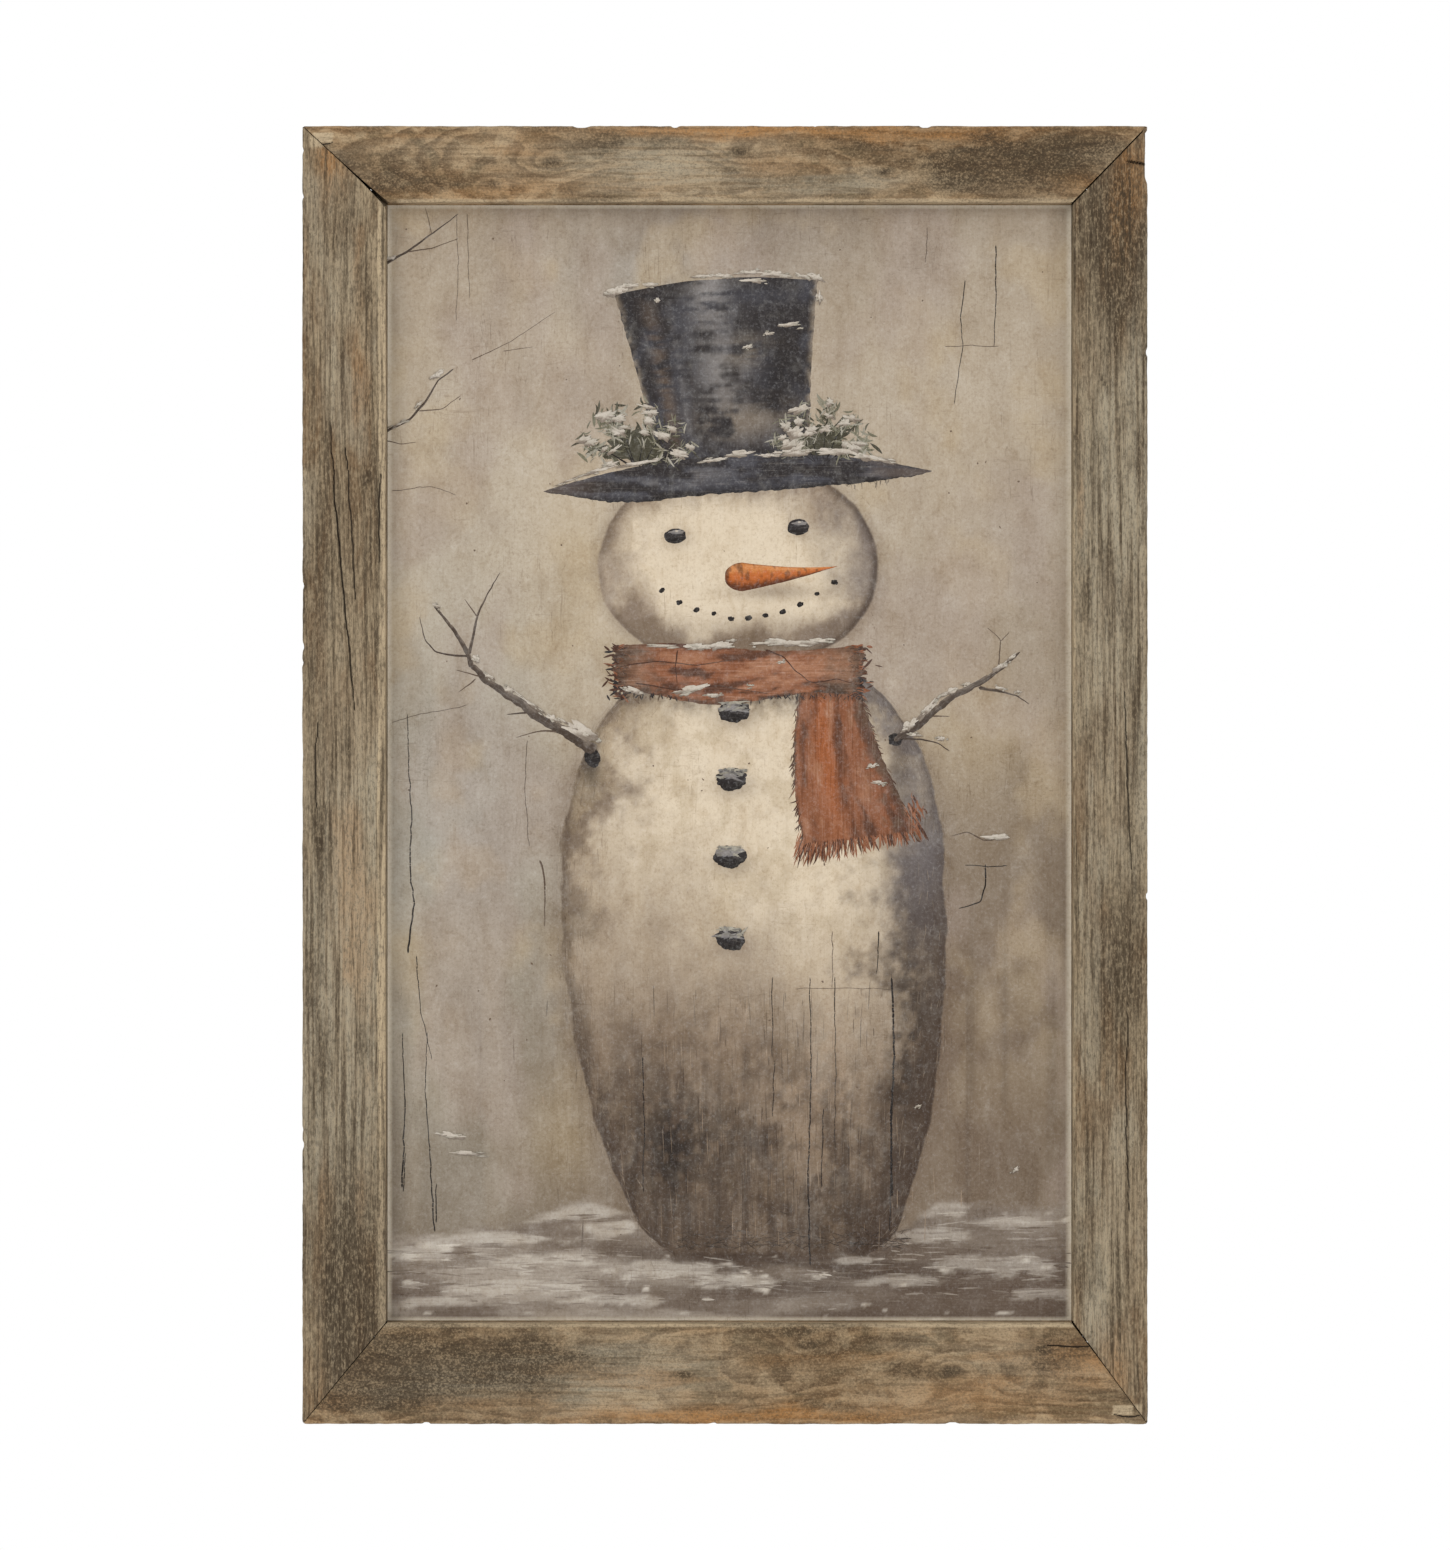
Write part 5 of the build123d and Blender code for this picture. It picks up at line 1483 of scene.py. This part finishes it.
# Fine cracks in the paint, as lines through points with the width at each end.
HAIRLINES = [
    ([(9, 274), (9.5, 250), (11, 228), (10, 205), (12, 188), (9, 166)], (0.35, 1.0)),
    ([(2, 270), (14, 274), (27, 276), (36, 278)], (0.25, 0.3)),
    ([(13, 165), (15, 140), (20, 118)], (0.5, 0.3)), ([(8, 76), (7, 58)], (0.4, 0.6)),
    ([(22, 62), (22, 44)], (0.5, 0.8)), ([(261, 470), (259, 452), (260, 440), (256, 414)], (0.5, 0.3)),
    ([(275, 486), (275, 462), (274, 440)], (0.7, 0.3)),
    ([(252, 440), (264, 440.5), (276, 440)], (0.3, 0.3)), ([(244, 494), (243, 478)], (0.3, 0.3)),
    ([(63, 262), (62, 240), (64, 214)], (0.3, 0.3)), ([(2, 375), (20, 377), (31, 373)], (0.3, 0.25)),
    ([(261, 206), (271, 205), (280, 205.5)], (0.4, 0.5)),
    ([(270.5, 206), (270, 196), (268, 189), (258, 186)], (0.9, 0.5)),
    ([(201, 176), (201, 150)], (0.4, 0.3)), ([(222, 176), (221, 156)], (0.8, 0.3)),
    ([(228, 98), (227, 40)], (1.0, 0.5)), ([(175, 118), (174, 92)], (0.4, 0.5)),
    ([(197, 96), (196, 60)], (0.5, 0.6)), ([(185, 150), (220, 150), (246, 149)], (0.25, 0.25)),
    ([(115.4, 119), (116, 90), (115.5, 58)], (0.7, 0.5)),
    ([(140.5, 101), (141, 84), (140.5, 65)], (0.4, 0.4)),
    ([(190.8, 155), (191.5, 110), (190, 66), (191, 25)], (0.5, 0.9)),
    ([(202, 155), (202.5, 112), (202, 78)], (0.5, 0.35)),
    ([(228, 155), (229, 120), (227.5, 88), (228, 56)], (1.1, 1.4)),
    ([(173.8, 155), (174, 119)], (0.5, 0.4)), ([(18, 130), (17, 104), (19, 78), (21, 40)], (0.3, 0.8)),
    ([(6.7, 130), (8, 96), (6.5, 60)], (0.4, 0.9)), ([(36, 500), (36.5, 480), (37, 462)], (0.3, 0.2)),
    ([(31, 500), (32, 478), (31, 452)], (0.25, 0.2)),
]


def paint_cracks(material):
    """Hair-thin cracks and runs of thinned paint, with small dark specks."""
    cracks = Paint()
    for number, (points, widths) in enumerate(HAIRLINES):
        colour = SOOT if max(widths) > 0.45 else mix(BARK, FUR, 0.5)
        cracks.line(points, widths, colour, high=0.16, rough=0.45, seed=600 + 3 * number)
    dice = np.random.default_rng(66)
    count = 60
    specks = np.stack([
        dice.uniform(5, 304, count), dice.uniform(20, 498, count), dice.uniform(0.3, 0.8, count),
        dice.uniform(0.25, 0.5, count), dice.uniform(0, 180, count),
    ], axis=1)
    cracks.touches(specks, FUR, high=0.14, seed=660)
    return cracks.piece("picture_cracks", material)


paint_finish = oil_paint()
picture = paint_ground(paint_finish)
painters = [
    paint_brushwork, paint_cracks, paint_twigs, paint_hat, paint_scarf,
    paint_carrot, paint_coal, paint_sprigs, paint_snow,
]
overlays = [*paint_figure(paint_finish), *(painter(paint_finish) for painter in painters)]


# ---------------------------------------------------------------- boards and hardware

# The pitch of the square weave that the press screen leaves on hardboard.
SCREEN_PITCH = 1.6
RUST_RED = (0.16, 0.060, 0.022)


def foam_board():
    """White paper over foam, faintly fibrous, a little yellowed."""
    f = Finish("foam_board")
    place = f.place()
    cloud = f.grain(place, 0.02, 4.0)
    fibre = f.grain(f.stretch(place, (0.5, 1.0, 2.2)), 1.0, 3.0, 0.6, 1.2)
    paper = f.layers(
        (0.74, 0.73, 0.69),
        (f.ease(cloud, 0.35, 0.65), (0.66, 0.64, 0.58)),
        (f.ease(fibre, 0.30, 0.45, 0.25, 0.0), (0.50, 0.48, 0.43)),
    )
    return f.surface(paper, f.ease(fibre, 0.3, 0.7, 0.88, 0.74), f.bump(fibre, 0.08), IOR=1.45)


def hardboard():
    """Brown pressed fibre: matted flecks, and the faint square weave of the press screen."""
    f = Finish("hardboard")
    place = f.place()
    cloud = f.grain(place, 0.012, 5.0, 0.6)
    fleck = f.grain(f.stretch(place, (1.1, 1.1, 0.7)), 1.0, 5.0, 0.75, 1.5)
    x, _, z = f.add("SeparateXYZ", {0: place}).node.outputs
    pitch = 2 * np.pi / SCREEN_PITCH
    warp = f.maths("SINE", f.times(x, pitch))
    weft = f.maths("SINE", f.times(z, pitch))
    screen = f.maths("MULTIPLY_ADD", f.times(warp, weft), 0.5, 0.5)
    board = f.layers(
        (0.205, 0.114, 0.056),
        (f.ease(cloud, 0.35, 0.65), (0.176, 0.096, 0.047)),
        (f.ease(fleck, 0.50, 0.62, 0.0, 0.75), (0.340, 0.212, 0.114)),
        (f.ease(fleck, 0.46, 0.34, 0.0, 0.80), (0.070, 0.038, 0.020)),
        (f.ease(screen, 0.2, 0.0, 0.0, 0.35), (0.080, 0.045, 0.024)),
    )
    height = f.maths("MULTIPLY_ADD", screen, 0.6, fleck)
    return f.surface(board, f.ease(fleck, 0.3, 0.7, 0.80, 0.58), f.bump(height, 0.25, 0.8), IOR=1.5)


def bare_metal(name, colour, dull, patch, roughness, scratch, rust=0.0):
    """Plated or bare steel: dull patches, fine scratches, and rust in the rough places if any."""
    f = Finish(name)
    place = f.place()
    cloud = f.grain(place, patch, 5.0, 0.65, 0.6)
    fine = f.grain(f.stretch(place, (0.8, 6.0, 6.0)), 1.0, 3.0, 0.6)
    grit = f.grain(place, 2.6, 4.0, 0.7)
    spots = f.times(f.ease(grit, 0.52, 0.66), f.ease(cloud, 0.40, 0.60))
    metal = f.layers(
        colour,
        (f.ease(cloud, 0.38, 0.62), dull),
        (f.ease(fine, 0.34, 0.46, scratch, 0.0), tuple(0.6 * c for c in dull)),
        (f.times(spots, rust), RUST_RED),
    )
    dull_rough = f.ease(cloud, 0.35, 0.65, roughness, roughness + 0.16)
    rough = f.plus(dull_rough, f.times(fine, 0.10))
    return f.surface(metal, rough, f.bump(f.plus(grit, fine), 0.03, 0.6), Metallic=1.0)


def bumper_rubber():
    """A soft dark grey button with a dusty, finely pitted skin."""
    f = Finish("bumper_rubber")
    place = f.place()
    dust, pit = f.grain(place, 0.5, 4.0, 0.65), f.grain(place, 6.0, 2.0)
    rubber = f.blend(f.ease(dust, 0.40, 0.65, 0.0, 0.7), (0.060, 0.058, 0.055), (0.135, 0.128, 0.118))
    return f.surface(rubber, f.ease(dust, 0.35, 0.65, 0.48, 0.70), f.bump(pit, 0.05, 0.6), IOR=1.5)


def dress_hardware():
    """Gives each carried-over CAD node the finish of its own stuff."""
    finishes = {
        "mount_board": foam_board(),
        "backing_board": hardboard(),
        "corner": bare_metal("nail_steel", (0.30, 0.29, 0.28), (0.15, 0.14, 0.13), 0.25, 0.46, 0.5, rust=0.8),
        "turn_button": bare_metal(
            "button_steel", (0.50, 0.50, 0.49), (0.36, 0.36, 0.36), 0.12, 0.34, 0.5, rust=0.15
        ),
        "screws": bare_metal("screw_zinc", (0.56, 0.55, 0.50), (0.40, 0.39, 0.34), 0.6, 0.30, 0.4),
        "hanger": bare_metal("hanger_nickel", (0.60, 0.58, 0.54), (0.44, 0.42, 0.39), 0.2, 0.26, 0.6),
        "bumper": bumper_rubber(),
    }
    for name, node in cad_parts.items():
        if node.hide_render:
            continue
        # Nodes of screws are also named after what they hold, so screws are looked for first.
        kind = next(kind for kind in ("screws", *finishes) if kind in name)
        for slot in node.material_slots:
            slot.material = finishes[kind]


dress_hardware()


# ---------------------------------------------------------------- camera, floor and light

# How wide the view is at the front of the frame, the lens, and the view's width over its height.
VIEW_WIDTH = 653.0
LENS, SENSOR = 100.0, 24.0
VIEW_RATIO = 1450 / 1550
# The soft boxes, as (name, place, size, watts).
SOFT_BOXES = [("key", (-1300, -1500, 900), 900, 13), ("fill", (1500, -1700, 300), 1200, 4)]
centre = np.array([(LEFT + RIGHT) / 2, FRONT, (TOP + BOTTOM) / 2])


def aim(thing, place, target):
    """Turns a lamp or the camera at place to look at the target, both in millimetres."""
    place, target = Vector(np.asarray(place) / METRE), Vector(np.asarray(target) / METRE)
    thing.location = place
    thing.rotation_euler = (target - place).to_track_quat("-Z", "Y").to_euler()


def make_camera():
    """A long lens straight in front of the picture's middle."""
    lens = bpy.data.cameras.new("camera")
    lens.lens = LENS
    lens.sensor_width = SENSOR
    camera = bpy.data.objects.new("camera", lens)
    bpy.context.scene.collection.objects.link(camera)
    distance = VIEW_WIDTH * LENS / (SENSOR * VIEW_RATIO)
    aim(camera, centre - (0, distance, 0), centre)
    bpy.context.scene.camera = camera


def make_lamp(name, place, size, watts):
    """A square soft box that points at the picture's middle."""
    light = bpy.data.lights.new(name, "AREA")
    light.shape = "SQUARE"
    light.size = size / METRE
    light.energy = watts
    lamp = bpy.data.objects.new(name, light)
    bpy.context.scene.collection.objects.link(lamp)
    aim(lamp, place, centre)


def make_floor(gap=350.0, reach=2200.0):
    """A plain pale floor some way below the frame, as under a picture that hangs on a wall."""
    mesh = bpy.data.meshes.new("floor")
    level = BOTTOM - gap
    corners = [(-reach, -reach, level), (reach, -reach, level), (reach, reach, level), (-reach, reach, level)]
    mesh.from_pydata([tuple(c / METRE for c in corner) for corner in corners], [], [(0, 1, 2, 3)])
    f = Finish("pale_floor")
    shade = f.grain(f.place((1.5, 1.5, 1.5)), 1.0, 2.0)
    pale = f.blend(shade, (0.975, 0.975, 0.975), (0.985, 0.985, 0.985))
    mesh.materials.append(f.surface(pale, 0.9))
    floor = bpy.data.objects.new("floor", mesh)
    bpy.context.scene.collection.objects.link(floor)


def light_the_room():
    """An even white surround with one soft box from the upper left and a weaker one at right."""
    world = bpy.data.worlds.new("studio")
    world.use_nodes = True
    shade = world.node_tree.nodes["Background"]
    shade.inputs["Color"].default_value = (1.0, 1.0, 1.0, 1.0)
    shade.inputs["Strength"].default_value = 1.0
    bpy.context.scene.world = world
    for soft_box in SOFT_BOXES:
        make_lamp(*soft_box)
    bpy.context.scene.view_settings.view_transform = "Standard"


make_camera()
light_the_room()
make_floor()
